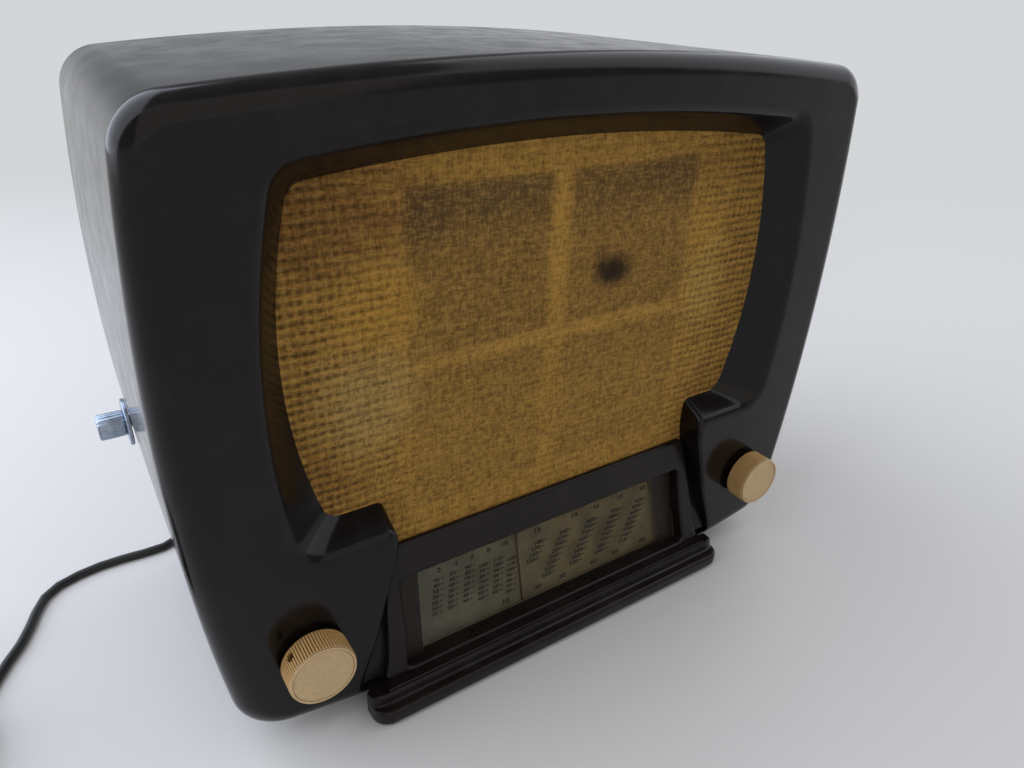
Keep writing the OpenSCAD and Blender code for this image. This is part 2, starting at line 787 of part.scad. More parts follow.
// One valve: base, bulb with a shoulder, and a pip or cap on top
module valve(k, bulb_scale) {
    r = valve_d / 2 * bulb_scale;
    h = valve_h * bulb_scale;
    set_frame() translate([valve_x[k], valve_y, deck_z + 3]) {
        color("#2a2320") cylinder(d = valve_base_d, h = valve_base_h);
        color("#9aa2a4") translate([0, 0, valve_base_h]) rotate_extrude()
            polygon([[0, 0], [valve_base_d / 2 - 1, 0], [r - 1, 5], [r, 10],
                     [r, h - valve_base_h - 16], [r - 2.5, h - valve_base_h - 9],
                     [r * 0.55, h - valve_base_h - 5], [3.5, h - valve_base_h - 4.2],
                     [3.5, h - valve_base_h - 0.6], [3, h - valve_base_h],
                     [0, h - valve_base_h]]);
    }
}

module rectifier_valve() valve(0, 1);
module output_valve() valve(1, 1);
module detector_valve() valve(2, 0.92);
module amplifier_valve() valve(3, 0.92);
module mixer_valve() valve(4, 0.92);

can_w = 28;
can_h = 60;
can_y = chassis_y + 36;
can_stagger = 12;
first_can_x = gang_x - 56;
second_can_x = transformer_x + 56;
smoothing_x = (first_can_x + second_can_x) / 2 + 2;
smoothing_d = 32;
smoothing_h = 50;

// Square screening can with a rounded top and two tuning holes
module screening_can(x, y) {
    color("#b3b5b0") set_frame() difference() {
        union() {
            translate([x, y, deck_z]) linear_extrude(can_h)
                softened(4) square(can_w, center = true);
            translate([x, y, deck_z]) linear_extrude(1.2)
                softened(3) square([can_w + 10, can_w], center = true);
        }
        for (s = [-7, 7])
            translate([x + s, y, deck_z + can_h - 6]) cylinder(d = 5, h = 8);
    }
}

module first_if_can() screening_can(first_can_x, can_y + can_stagger);
module second_if_can() screening_can(second_can_x, can_y);

module smoothing_can() {
    color("#a7a9a6") set_frame() translate([smoothing_x, can_y + can_stagger, deck_z]) {
        cylinder(d = smoothing_d, h = smoothing_h);
        cylinder(d = smoothing_d + 4, h = 2);
        translate([0, 0, smoothing_h]) cylinder(d = smoothing_d - 6, h = 1.5);
    }
}

gang_y = chassis_y + 6;
gang_w = 44;
gang_end_t = 2;
vane_t = 0.8;
vane_pitch = 3.2;
bank_len = vane_pitch * vanes;
bank_gap = 6;
gang_len = 2 * bank_len + bank_gap + 2 * gang_end_t + 6;

// Depth of a turning vane's front face
function vane_y(bank, k) = gang_y + gang_end_t + 3 + bank * (bank_len + bank_gap) + k * vane_pitch;

module gang_frame() {
    low = gang_z - vane_r - 5;
    color("#9c9a90") set_frame() difference() {
        union() {
            for (y = [gang_y, gang_y + gang_len - gang_end_t])
                centred_block([gang_w, gang_end_t, 2 * vane_r + 8], [gang_x, y, low]);
            centred_block([gang_w, gang_len, 2], [gang_x, gang_y, low]);
            for (x = [-16, 16]) for (y = [8, gang_len - 8])
                translate([gang_x + x, gang_y + y, deck_z])
                    cylinder(d = 8, h = low - deck_z);
        }
        along_y(gang_x, gang_y - 1, gang_z, spindle_d / 2 + run_fit, gang_len + 2);
    }
}

// Fixed vanes on the left of the shaft, on two bars at their edge
module gang_stator() {
    bar_x = gang_x - vane_r - 1;
    color("#c4c4bc") set_frame() {
        for (bank = [0, 1]) for (k = [0:vanes - 2])
            from_depth(vane_y(bank, k) + vane_t + (vane_pitch - 2 * vane_t) / 2, vane_t)
                difference() {
                    translate([bar_x, gang_z - vane_r + 2]) square([vane_r - 5, 2 * vane_r - 4]);
                    translate([gang_x, gang_z]) circle(d = spindle_d + 5);
                }
        for (z = [-12, 10])
            centred_block([1.6, gang_len - 2 * gang_end_t, 3],
                          [bar_x - 0.4, gang_y + gang_end_t, gang_z + z]);
    }
}

// Turn of the gang and the drum that goes with the pointer's place, from the closed gang
shown_a = 180 * pointer_shown / pointer_travel;

// Shaft with the turning vanes, which lie to the left when the gang is closed
module gang_rotor() {
    color("#cfcfc8") set_frame() {
        along_y(gang_x, drum_y - 2, gang_z, spindle_d / 2, gang_y + gang_len - drum_y + 4);
        for (bank = [0, 1]) for (k = [0:vanes - 1])
            from_depth(vane_y(bank, k), vane_t) translate([gang_x, gang_z]) {
                circle(d = spindle_d + 4);
                rotate(-shown_a) difference() {
                    circle(vane_r);
                    translate([0.01, -vane_r - 1]) square(2 * vane_r + 2);
                }
            }
    }
}

drive_y = 46;
drum_t = 6;
drum_y = drive_y - drum_t / 2;
line_d = 1;
line_fit = 0.15;
// Radii at which the middle of the line runs: half a turn of the drum moves the pointer
// over its whole travel, and the capstan turns ten times as fast as the drum
drum_r = pointer_travel / PI;
drive_ratio = 10;
capstan_r = drum_r / drive_ratio;
upper_run_z = deck_z + 8;
lower_run_z = knob_z - capstan_r;
left_pulley_x = -98;
left_pulley_r = (upper_run_z - lower_run_z) / 2;
left_pulley_z = upper_run_z - left_pulley_r;
right_pulley_x = gang_x - 48;
right_pulley_r = 4.2;
right_pulley_z = upper_run_z + right_pulley_r;
pulley_t = 4;
pulley_rim = 1.4;
drum_rim = 2;
drum_hole_at = 25;
drum_hole_d = 16;
// The spring's round ends just clear the curved edge of the hole that it lies in
spring_len = 15.4;

// Grooved disc turned about an axis along y, with a bore
module pulley(x, z, line_r, rim, t, bore_d) {
    groove_r = line_r - line_d / 2 - line_fit;
    translate([x, drive_y - t / 2, z]) rotate([-90, 0, 0]) rotate_extrude($fn = 96)
        polygon([[bore_d / 2, 0], [line_r + rim, 0], [line_r + rim, 0.8],
                 [groove_r, t / 2 - 0.7], [groove_r, t / 2 + 0.7],
                 [line_r + rim, t - 0.8], [line_r + rim, t], [bore_d / 2, t]]);
}

module drive_drum() {
    color("#b9b7ad") set_frame() difference() {
        union() {
            pulley(gang_x, gang_z, drum_r, drum_rim, drum_t, spindle_d);
            difference() {
                along_y(gang_x, drum_y + drum_t, gang_z, 8, 4);
                along_y(gang_x, drum_y, gang_z, spindle_d / 2, 20);
            }
        }
        for (a = [0:60:300])
            along_y(gang_x + drum_hole_at * cos(a), drum_y - 1, gang_z + drum_hole_at * sin(a),
                    drum_hole_d / 2, drum_t + 2);
    }
}

// Spring between the ends of the line, lying in one of the drum's holes
module tension_spring() {
    color("#b5b2a6") set_frame()
        translate([gang_x - drum_hole_at - spring_len / 2, drum_y + drum_t / 2, gang_z])
            rotate([0, 90, 0]) difference() {
                cylinder(d = 4, h = spring_len);
                translate([0, 0, 2]) cylinder(d = 2.4, h = spring_len - 4);
            }
}

plate_y = drive_y + 6;
plate_t = 1.5;
plate_low = lower_run_z - 8;
plate_high = upper_run_z + 12;
plate_end = 16;
stay_d = 8;
axle_d = 3;

// Steel strip before the chassis that carries the two pulleys
module drive_plate() {
    color("#90908a") set_frame() {
        translate([left_pulley_x - plate_end, plate_y, plate_low])
            cube([right_pulley_x - left_pulley_x + 2 * plate_end, plate_t,
                  plate_high - plate_low]);
        for (x = [left_pulley_x - plate_end + 6, right_pulley_x + plate_end - 8])
            along_y(x, plate_y + plate_t, knob_z, stay_d / 2, chassis_y - plate_y - plate_t);
        axle(left_pulley_x, left_pulley_z);
        axle(right_pulley_x, right_pulley_z);
    }
}

// Axle of a pulley with a head before it and a shoulder behind it
module axle(x, z) {
    side = pulley_t / 2 + 0.3;
    along_y(x, drive_y - side - 1, z, axle_d / 2 + 1, 1);
    along_y(x, drive_y - side - 0.5, z, axle_d / 2, plate_y - drive_y + side + 0.5);
    along_y(x, drive_y + side, z, axle_d / 2 + 1.2, plate_y - drive_y - side);
}

module left_pulley() {
    color("#c8b27a") set_frame()
        pulley(left_pulley_x, left_pulley_z, left_pulley_r, pulley_rim, pulley_t,
               axle_d + 2 * run_fit);
}

module right_pulley() {
    color("#c8b27a") set_frame()
        pulley(right_pulley_x, right_pulley_z, right_pulley_r, pulley_rim, pulley_t,
               axle_d + 2 * run_fit);
}

line_sides = 8;

// Bend of the line round a groove between two angles: each point with its outward or inward
// direction, so that the direction always lies on the left of the way
function line_bend(x, z, r, from, to, steps) = [for (k = [0:steps])
    let (a = from + (to - from) * k / steps, out = [cos(a), sin(a)])
    [[x, z] + r * out, to < from ? out : -out]];

// The driving line, one closed loop: left pulley, right pulley, drum, capstan
module drive_cord() {
    // The stretch from the right pulley to the drum crosses from one side to the other
    gap = [gang_x - right_pulley_x, gang_z - right_pulley_z];
    cross_a = atan2(gap[1], gap[0]) - acos((drum_r + right_pulley_r) / norm(gap));
    // The stretch from the drum to the capstan stays on the right of both
    drop = [gang_x - knob_x, gang_z - knob_z];
    open_a = atan2(drop[1], drop[0]) - acos((capstan_r - drum_r) / norm(drop));
    way = concat(line_bend(left_pulley_x, left_pulley_z, left_pulley_r, -90, -270, 16),
                 line_bend(right_pulley_x, right_pulley_z, right_pulley_r, -90, cross_a, 5),
                 line_bend(gang_x, gang_z, drum_r, cross_a + 180, open_a, 24),
                 line_bend(knob_x, knob_z, capstan_r, open_a, -90, 7));
    n = len(way) * line_sides;
    points = [for (w = way) for (j = [0:line_sides - 1])
        let (a = 360 * j / line_sides, p = w[0] + line_d / 2 * cos(a) * w[1])
        [p[0], drive_y + line_d / 2 * sin(a), p[1]]];
    color("#d8d2bd") set_frame() polyhedron(points,
        [for (k = [0:line_sides:n - 1]) for (j = [0:line_sides - 1])
            let (a = k + j, b = k + (j + 1) % line_sides)
            each [[a, b, (b + line_sides) % n], [a, (b + line_sides) % n, (a + line_sides) % n]]]);
}

pointer_left = -74;
rail_z = upper_run_z - 9;
rail_t = 1.2;
rail_lip = 1.5;

// Sheet rail under the upper run, standing out from the drive plate
module pointer_rail() {
    color("#a9a79c") set_frame()
        translate([pointer_left - 6, drive_y - rail_lip, rail_z - rail_t / 2])
            cube([pointer_travel + 11, plate_y - drive_y + rail_lip, rail_t]);
}

carriage_w = 8;
slide_fit = 0.1;
wire_d = 1.2;
pointer_y = glass_depth + glass_t + backing_gap / 2;

// Carriage on the rail's edge, gripping the line, with an arm over the backing and a wire
module pointer() {
    arm_z = dial_foot_z + (opening_h + 1.5) * cos(dial_tilt) - pointer_y * sin(dial_tilt);
    arm_y = dial_foot_y + (opening_h + 1.5) * sin(dial_tilt) + pointer_y * cos(dial_tilt);
    color("#b8432c") set_frame() translate([pointer_left + pointer_shown, 0, 0]) {
        difference() {
            centred_block([carriage_w, 5, upper_run_z + 2.5 - arm_z], [0, drive_y - 2.5, arm_z]);
            translate([-carriage_w, drive_y - rail_lip - slide_fit,
                       rail_z - rail_t / 2 - slide_fit])
                cube([2 * carriage_w, 10, rail_t + 2 * slide_fit]);
            translate([-carriage_w, drive_y, upper_run_z]) rotate([0, 90, 0])
                cylinder(d = line_d + 4 * slide_fit, h = 2 * carriage_w);
        }
        centred_block([3, drive_y - 2 - arm_y, 1.2], [0, arm_y, arm_z]);
        dial_frame() translate([0, pointer_y, 3]) cylinder(d = wire_d, h = opening_h - 1);
    }
}

bush_d = 10;
bush_len = 10;

// Threaded bush in the front apron with its nut, in which a spindle turns
module spindle_bush(x) {
    difference() {
        union() {
            along_y(x, chassis_y - bush_len + 2, knob_z, bush_d / 2, bush_len + 6);
            along_y(x, chassis_y - 3, knob_z, bush_d / 2 + 2.5, 3, $fn = 6);
        }
        along_y(x, chassis_y - bush_len, knob_z, spindle_d / 2 + run_fit, bush_len + 20);
    }
}

module tuning_bush() {
    color("#b49a5a") set_frame() {
        spindle_bush(knob_x);
        difference() {
            along_y(knob_x, chassis_y + sheet_t, knob_z, bush_d / 2 + 2.5, 3);
            along_y(knob_x, chassis_y, knob_z, bush_d / 2 - 1, 6);
        }
    }
}

spindle_tip_y = 3;

// Tuning spindle with the grooved capstan that the line goes round
module tuning_spindle() {
    groove_r = capstan_r - line_d / 2 - line_fit;
    flange_r = capstan_r + 1.4;
    color("#b9b9b4") set_frame() {
        along_y(knob_x, spindle_tip_y, knob_z, spindle_d / 2, chassis_y + 9 - spindle_tip_y);
        translate([knob_x, drive_y - 4, knob_z]) rotate([-90, 0, 0]) rotate_extrude()
            polygon([[0, 0], [flange_r, 0], [flange_r, 0.8], [groove_r, 2], [groove_r, 6],
                     [flange_r, 7.2], [flange_r, 8], [0, 8]]);
    }
}

flute_depth = 0.5;
knob_face_t = 1.4;
knob_hub_d = 13;
knob_skin = 2.4;
knob_hollow = 6;
grub_d = 3;
grub_len = 6;
grub_y = 8.5;

// Fluted knob about an axis along y, hollow at the back round its hub. Its grub screw
// hole points away from the axis at the given angle.
module fluted_knob(x, angle) {
    r = knob_d / 2;
    difference() {
        union() {
            along_y(x, 0, knob_z, r - 1.4, knob_face_t);
            from_depth(knob_face_t, knob_len - knob_face_t) translate([x, knob_z])
                polygon([for (k = [0:2 * flutes - 1])
                    (r - (k % 2) * flute_depth) * [cos(180 * k / flutes), sin(180 * k / flutes)]]);
        }
        difference() {
            along_y(x, knob_len - knob_hollow, knob_z, r - knob_skin, knob_hollow + 1);
            along_y(x, knob_len - knob_hollow - 1, knob_z, knob_hub_d / 2, knob_hollow + 3);
        }
        along_y(x, spindle_tip_y, knob_z, spindle_d / 2, knob_len);
        translate([x, grub_y, knob_z]) rotate([0, 90 - angle, 0])
            cylinder(d = grub_d + 0.2, h = r + 2);
    }
}

module grub_screw(x, angle) {
    color("#6f6a60") set_frame() translate([x, grub_y, knob_z]) rotate([0, 90 - angle, 0])
        translate([0, 0, spindle_d / 2]) difference() {
            cylinder(d = grub_d, h = grub_len);
            translate([-2, -0.3, grub_len - 1]) cube([4, 0.6, 2]);
        }
}

volume_grub_a = 150;
tuning_grub_a = 60;

module tuning_knob() {
    color("#d9c79a") set_frame() fluted_knob(knob_x, tuning_grub_a);
}

module tuning_grub_screw() grub_screw(knob_x, tuning_grub_a);

module volume_knob() {
    color("#d9c79a") set_frame() fluted_knob(-knob_x, volume_grub_a);
}

module volume_grub_screw() grub_screw(-knob_x, volume_grub_a);

pot_d = 26;
pot_len = 12;

// Volume control: bush, nut, round case with three tags
module volume_control() {
    case_y = chassis_y + sheet_t;
    color("#8b8478") set_frame() {
        spindle_bush(-knob_x);
        difference() {
            along_y(-knob_x, case_y, knob_z, pot_d / 2, pot_len);
            along_y(-knob_x, case_y - 1, knob_z, bush_d / 2 - 0.5, 8);
        }
        for (x = [-7, 0, 7])
            centred_block([3, 1, 9], [-knob_x + x, case_y + 2, knob_z - pot_d / 2 - 6]);
    }
}

module volume_spindle() {
    color("#b9b9b4") set_frame()
        along_y(-knob_x, spindle_tip_y, knob_z, spindle_d / 2, chassis_y + 7 - spindle_tip_y);
}

felt_r = 10;

module felt_washers() {
    color("#5a3a2c") set_frame() for (x = [-knob_x, knob_x]) difference() {
        along_y(x, knob_len + 0.3, knob_z, felt_r, knob_gap - 0.3);
        along_y(x, knob_len, knob_z, spindle_d / 2 + 1, knob_gap + 1);
    }
}

bracket_x = side_wall_x + wall + 12;
bracket_half = 13;

// Upright plate that holds the side switch, turned in under the deck's edge
module side_bracket() {
    foot_x = -chassis_half;
    color("#8f8f88") set_frame() difference() {
        union() {
            translate([bracket_x, side_y - bracket_half, deck_z - 12])
                cube([plate_t, 2 * bracket_half - 2, side_z + 12 - deck_z + 12]);
            translate([bracket_x, side_y - bracket_half, deck_z - 12])
                cube([foot_x - bracket_x, 2 * bracket_half - 2, plate_t]);
        }
        translate([bracket_x - 1, side_y, side_z]) rotate([0, 90, 0])
            cylinder(d = bush_d, h = plate_t + 2);
    }
}

switch_r = 11.5;
spacer_len = 14;
wafer_gap = 6;

// Wafer switch: bush, nut, index plate and two wafers on spacers
module side_switch() {
    color("#9a8a5e") set_frame() translate([bracket_x, side_y, side_z]) rotate([0, 90, 0])
        difference() {
            union() {
                translate([0, 0, -5]) cylinder(d = bush_d, h = 8);
                translate([0, 0, -2.4]) cylinder(d = bush_d + 4, h = 2.4, $fn = 6);
                translate([0, 0, plate_t]) cylinder(r = switch_r, h = 2);
                for (a = [0, 180]) rotate([0, 0, a])
                    translate([switch_r - 3, 0, plate_t]) cylinder(d = 3, h = spacer_len);
                for (k = [1, 2])
                    translate([0, 0, plate_t + wafer_gap * k]) cylinder(r = switch_r, h = 1.6);
            }
            translate([0, 0, -6]) cylinder(d = spindle_d + 2 * run_fit, h = 30);
        }
}

side_tip_x = -left_reach;
side_skirt_t = 2;

module side_spindle() {
    color("#b9b9b4") set_frame() translate([side_tip_x + 3, side_y, side_z]) rotate([0, 90, 0])
        cylinder(d = spindle_d, h = bracket_x + plate_t + 15 - side_tip_x - 3);
}

// Small control: thin skirt close to the wall and a milled barrel
module side_knob() {
    skirt_x = side_wall_x - 0.8 - side_skirt_t;
    barrel_len = skirt_x - side_tip_x;
    color("#b7bcc2") set_frame() translate([side_tip_x, side_y, side_z]) rotate([0, 90, 0])
        difference() {
            union() {
                cylinder(d = side_knob_d - 1, h = 0.8);
                translate([0, 0, 0.8]) linear_extrude(barrel_len - 0.8)
                    polygon([for (k = [0:47]) (side_knob_d / 2 - (k % 2) * 0.35)
                        * [cos(7.5 * k), sin(7.5 * k)]]);
                translate([0, 0, barrel_len]) cylinder(d = side_skirt_d, h = side_skirt_t);
            }
            translate([0, 0, 3]) cylinder(d = spindle_d, h = barrel_len + side_skirt_t);
        }
}

lamp_x = [-45, 45];
lamp_z = 34;
lamp_stem_d = 9;
lamp_len = 11;
holder_y = chassis_y - 12;

module lamp_holders() {
    color("#a8965c") set_frame() for (x = lamp_x) difference() {
        union() {
            along_y(x, holder_y, lamp_z, lamp_stem_d / 2, 15);
            along_y(x, chassis_y - 2, lamp_z, lamp_stem_d / 2 + 2, 2);
        }
        along_y(x, holder_y - 1, lamp_z, 3.6, 7);
    }
}

module dial_lamps() {
    color("#e5e2d2") set_frame() for (x = lamp_x) {
        along_y(x, holder_y, lamp_z, 3.5, 6);
        translate([x, holder_y, lamp_z]) rotate([90, 0, 0]) rotate_extrude()
            polygon([[0, 0], [3.5, 0], [4.6, 2], [5, 5], [4.4, 8], [2.6, 10.2], [0, lamp_len]]);
    }
}

// Strip with four sockets for aerial, earth and a second loudspeaker
module rear_sockets() {
    color("#3a2d22") set_frame() difference() {
        union() {
            centred_block([52, 2, 22], [socket_x, chassis_back_y, socket_z - 11]);
            for (k = [-1.5:1.5]) along_y(socket_x + 11 * k, chassis_back_y + 2, socket_z, 4, 3);
        }
        for (k = [-1.5:1.5]) along_y(socket_x + 11 * k, chassis_back_y - 1, socket_z, 2, 8);
    }
}

relief_d = 11;
relief_neck_d = 8.4;
relief_tip_d = 7;
relief_end_y = 206;

// Rubber sleeve through the back apron and the cover, tapering along the lead
module cord_relief() {
    start = chassis_back_y - sheet_t - 3;
    color("#1c1b1a") set_frame() translate([cord_x, start, cord_z]) rotate([-90, 0, 0])
        rotate_extrude()
            polygon([[0, 0], [relief_d / 2 + 1, 0], [relief_d / 2 + 1, 3],
                     [relief_neck_d / 2, 3], [relief_neck_d / 2, 3 + sheet_t],
                     [relief_d / 2, 3 + sheet_t], [relief_d / 2, depth - start],
                     [relief_tip_d / 2, relief_end_y - start],
                     [0, relief_end_y - start]]);
}

// Route of the lead's middle line, from the relief over the table to the coil
lead_z = cord_d / 2;
lead_route = [
    [cord_x, relief_end_y, cord_z], [cord_x, 212, cord_z], [-70, 220, 35], [-72, 228, 31.5],
    [-76, 235, 25.5], [-83, 240, 18], [-92, 243, 11], [-103, 243, 6], [-115, 240, 3],
    [-127, 234, lead_z], [-138, 226, lead_z], [-148, 217, lead_z], [-158, 207, lead_z],
    [-168, 199, lead_z], [-179, 194, lead_z], [-191, 194, lead_z], [-203, 195, lead_z],
    [-215, 195, lead_z], [-227, 193, lead_z], [-238, 189, lead_z], [-246, 182, lead_z],
    [-251, 172, lead_z], [-255, 161, lead_z], [-260, 150, lead_z], [-267, 139, lead_z],
    [-273, 128, lead_z], [-278, 117, lead_z], [-280, 106, lead_z], [-280, 96, lead_z]];

function unit(v) = v / norm(v);
// Direction of a route at one of its points
function heading(p, k) = k == 0 ? unit(p[1] - p[0])
    : k == len(p) - 1 ? unit(p[k] - p[k - 1])
    : unit(unit(p[k + 1] - p[k]) + unit(p[k] - p[k - 1]));
function ring(at, dir, r, sides) =
    let (across = unit(cross(dir, [0, 0, 1])), up = cross(across, dir))
    [for (j = [0:sides - 1]) at + r * (cos(360 * j / sides) * across + sin(360 * j / sides) * up)];

// A tube swept along a route
module tube(route, r, sides) {
    n = len(route);
    points = [for (k = [0:n - 1]) each ring(route[k], heading(route, k), r, sides)];
    skin = [for (k = [0:n - 2]) for (j = [0:sides - 1])
        let (a = k * sides + j, b = k * sides + (j + 1) % sides)
        each [[a, b, b + sides], [a, b + sides, a + sides]]];
    near_end = [for (j = [1:sides - 2]) [0, j + 1, j]];
    far_end = [for (j = [1:sides - 2])
        [(n - 1) * sides, (n - 1) * sides + j, (n - 1) * sides + j + 1]];
    polyhedron(points, concat(skin, near_end, far_end));
}

module mains_cord() {
    color("#141313") set_frame() tube(lead_route, cord_d / 2, 8);
}

coil_turns = 7.5;
coil_out_r = 32;
coil_step = cord_d + 1;
coil_layer_h = cord_d + 0.7;
coil_centre = [-280 - coil_out_r, 96];
coil_rings = 24;

// Radius of the coil after some turns: it draws in for two turns and spreads for two
function coil_r(t) = let (u = t % 4) coil_out_r - coil_step * (u < 2 ? u : 4 - u);
// Each layer is climbed in the half turn where the spiral reverses
function coil_z(t) = lead_z + coil_layer_h
    * (floor((t + 0.25) / 2) + min(1, max(0, ((t + 0.25) % 2) * 2)) - 1
       + (t < 0.25 ? 1 - min(1, max(0, ((t + 0.25) % 2) * 2)) : 0));
function coil_at(t) = [coil_centre[0] + coil_r(t) * cos(-360 * t),
                       coil_centre[1] + coil_r(t) * sin(-360 * t), coil_z(t)];
plug_z = plug_d / 2;
coil_end = coil_at(coil_turns);
plug_y = coil_end[1] + 36;
coil_route = concat(
    [for (k = [0:coil_turns * coil_rings]) coil_at(k / coil_rings)],
    [[coil_end[0], coil_end[1] + 10, coil_end[2] - 0.3],
     [coil_end[0], coil_end[1] + 20, (coil_end[2] + plug_z) / 2 + 0.8],
     [coil_end[0], plug_y - cord_d - 1, plug_z],
     [coil_end[0], plug_y, plug_z]]);

module cord_coil() {
    color("#141313") set_frame() tube(coil_route, cord_d / 2, 6);
}

// Least gap between turns, over pairs of points at least half a turn apart
coil_gap = min([for (i = [0:2:len(coil_route) - 1])
    for (j = [i + coil_rings / 2:2:len(coil_route) - 1])
        norm(coil_route[i] - coil_route[j])]) - cord_d;
echo(least_gap_of_the_coil = coil_gap);  // cord_coil

module plug_body() {
    color("#2a2624") set_frame() translate([coil_end[0], plug_y, plug_z]) rotate([-90, 0, 0])
        rotate_extrude() polygon([
            [0, 0], [5, 0], [6, 8], [9, 12], [plug_d / 2 - 1, 20], [plug_d / 2, 24],
            [plug_d / 2, plug_len - 1], [plug_d / 2 - 1, plug_len], [0, plug_len]]);
}

pin_d = 4;
pin_len = 19;
pin_gap = 19;

module plug_pins() {
    color("#c9c4a8") set_frame() for (x = [-pin_gap / 2, pin_gap / 2]) {
        along_y(coil_end[0] + x, plug_y + plug_len, plug_z, pin_d / 2, pin_len - 1);
        along_y(coil_end[0] + x, plug_y + plug_len + pin_len - 1, plug_z, pin_d / 2 - 0.6, 1);
    }
}

cabinet();
plinth_bar();
dial_bezel();
scale_glass();
dial_backing();
pointer_rail();
pointer();
speaker_cloth();
baffle_board();
baffle_screws();
speaker_basket();
speaker_cone();
speaker_magnet();
speaker_bolts();
output_transformer();
rear_cover();
rear_cover_screws();
chassis();
chassis_bolts();
rubber_feet();
mains_transformer();
valve_sockets();
rectifier_valve();
output_valve();
detector_valve();
amplifier_valve();
mixer_valve();
first_if_can();
second_if_can();
smoothing_can();
gang_frame();
gang_stator();
gang_rotor();
drive_drum();
tension_spring();
drive_plate();
left_pulley();
right_pulley();
drive_cord();
tuning_bush();
tuning_spindle();
tuning_knob();
tuning_grub_screw();
volume_control();
volume_spindle();
volume_knob();
volume_grub_screw();
felt_washers();
side_bracket();
side_switch();
side_spindle();
side_knob();
lamp_holders();
dial_lamps();
rear_sockets();
cord_relief();
mains_cord();
cord_coil();
plug_body();
plug_pins();
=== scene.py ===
import math

import bpy
from mathutils import Matrix, Vector


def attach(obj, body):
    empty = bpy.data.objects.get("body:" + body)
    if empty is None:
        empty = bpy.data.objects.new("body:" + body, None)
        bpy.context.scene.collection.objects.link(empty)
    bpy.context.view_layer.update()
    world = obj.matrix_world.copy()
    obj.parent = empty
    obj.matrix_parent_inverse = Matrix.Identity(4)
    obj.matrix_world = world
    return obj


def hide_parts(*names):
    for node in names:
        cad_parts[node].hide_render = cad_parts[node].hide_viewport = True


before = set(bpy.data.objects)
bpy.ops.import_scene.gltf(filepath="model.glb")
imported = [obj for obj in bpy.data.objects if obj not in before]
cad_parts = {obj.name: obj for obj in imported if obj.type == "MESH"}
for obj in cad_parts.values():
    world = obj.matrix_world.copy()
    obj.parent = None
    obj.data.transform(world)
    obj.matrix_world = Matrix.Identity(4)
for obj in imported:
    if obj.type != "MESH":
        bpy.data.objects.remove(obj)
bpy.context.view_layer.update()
bpy.ops.object.select_all(action="DESELECT")
print("frame loaded:", len(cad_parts), "nodes")

# The set's own measure: x from its middle, y into the depth from the knob faces, z up, in mm
setShift = (5.85, -92.9, 0.0)


def place(x, y, z):
    return Vector(((x + setShift[0]) / 1000, (y + setShift[1]) / 1000, z / 1000))


# Solved from the lines of the cabinet and the knobs: its place in the set's mm and its axes
camera = {
    "lens": 26.3,
    "at": (-206.3, -230.7, 325.1),
    "right": (0.83545, -0.54850, 0.03420),
    "down": (-0.23397, -0.41131, -0.88096),
    "ahead": (0.49727, 0.72799, -0.47196),
}


def makeCamera():
    lens = bpy.data.cameras.new("photoLens")
    lens.lens = camera["lens"]
    lens.sensor_width = 36
    lens.clip_start = 0.01
    eye = bpy.data.objects.new("photoCamera", lens)
    bpy.context.scene.collection.objects.link(eye)
    columns = [Vector(camera["right"]), -Vector(camera["down"]), -Vector(camera["ahead"])]
    turned = Matrix(columns).transposed().to_4x4()
    eye.matrix_world = Matrix.Translation(place(*camera["at"])) @ turned
    bpy.context.scene.camera = eye


makeCamera()
print("camera set")


def colour(code):
    # sRGB hex to linear
    parts = [int(code[k:k + 2], 16) / 255 for k in (1, 3, 5)]
    return [c / 12.92 if c <= 0.04045 else ((c + 0.055) / 1.055) ** 2.4 for c in parts] + [1.0]


def addNode(tree, kind, inputs=(), **settings):
    # Inputs go by name, or in the order of the sockets that its settings leave in use. One that
    # is given a node is linked to that node's first output in use.
    node = tree.nodes.new("ShaderNode" + kind)
    for name, value in settings.items():
        setattr(node, name, value)
    if isinstance(inputs, dict):
        given = [(node.inputs[name], value) for name, value in inputs.items()]
    else:
        given = zip([socket for socket in node.inputs if socket.enabled], inputs)
    for socket, value in given:
        if isinstance(value, bpy.types.Node):
            value = next(out for out in value.outputs if out.enabled)
        if isinstance(value, bpy.types.NodeSocket):
            tree.links.new(value, socket)
        else:
            socket.default_value = value
    return node


def startMaterial(name):
    # A bare material with its tree and the Object coordinates that patterns use
    made = bpy.data.materials.new(name)
    made.use_nodes = True
    made.node_tree.nodes.clear()
    return made, made.node_tree, addNode(made.node_tree, "TexCoord").outputs["Object"]


def endMaterial(made, inputs, relief=None):
    # Its shader, given all that was worked out for it. A relief has its pattern, strength and mm.
    tree = made.node_tree
    shader = addNode(tree, "BsdfPrincipled", inputs)
    if relief:
        height, strength, mm = relief
        bump = addNode(tree, "Bump", {"Height": height, "Strength": strength,
                                      "Distance": mm / 1000})
        tree.links.new(bump.outputs[0], shader.inputs["Normal"])
    addNode(tree, "OutputMaterial", [shader])
    return made


def seenRays(tree):
    # Rays that show the pale background: straight ones and those off gloss or through glass
    rays = addNode(tree, "LightPath").outputs
    shown = rays["Is Camera Ray"]
    for kind in ("Is Glossy Ray", "Is Transmission Ray"):
        shown = addNode(tree, "Math", (shown, rays[kind]), operation="MAXIMUM")
    return shown


def pickOnly(piece):
    bpy.ops.object.select_all(action="DESELECT")
    bpy.context.view_layer.objects.active = piece
    piece.select_set(True)


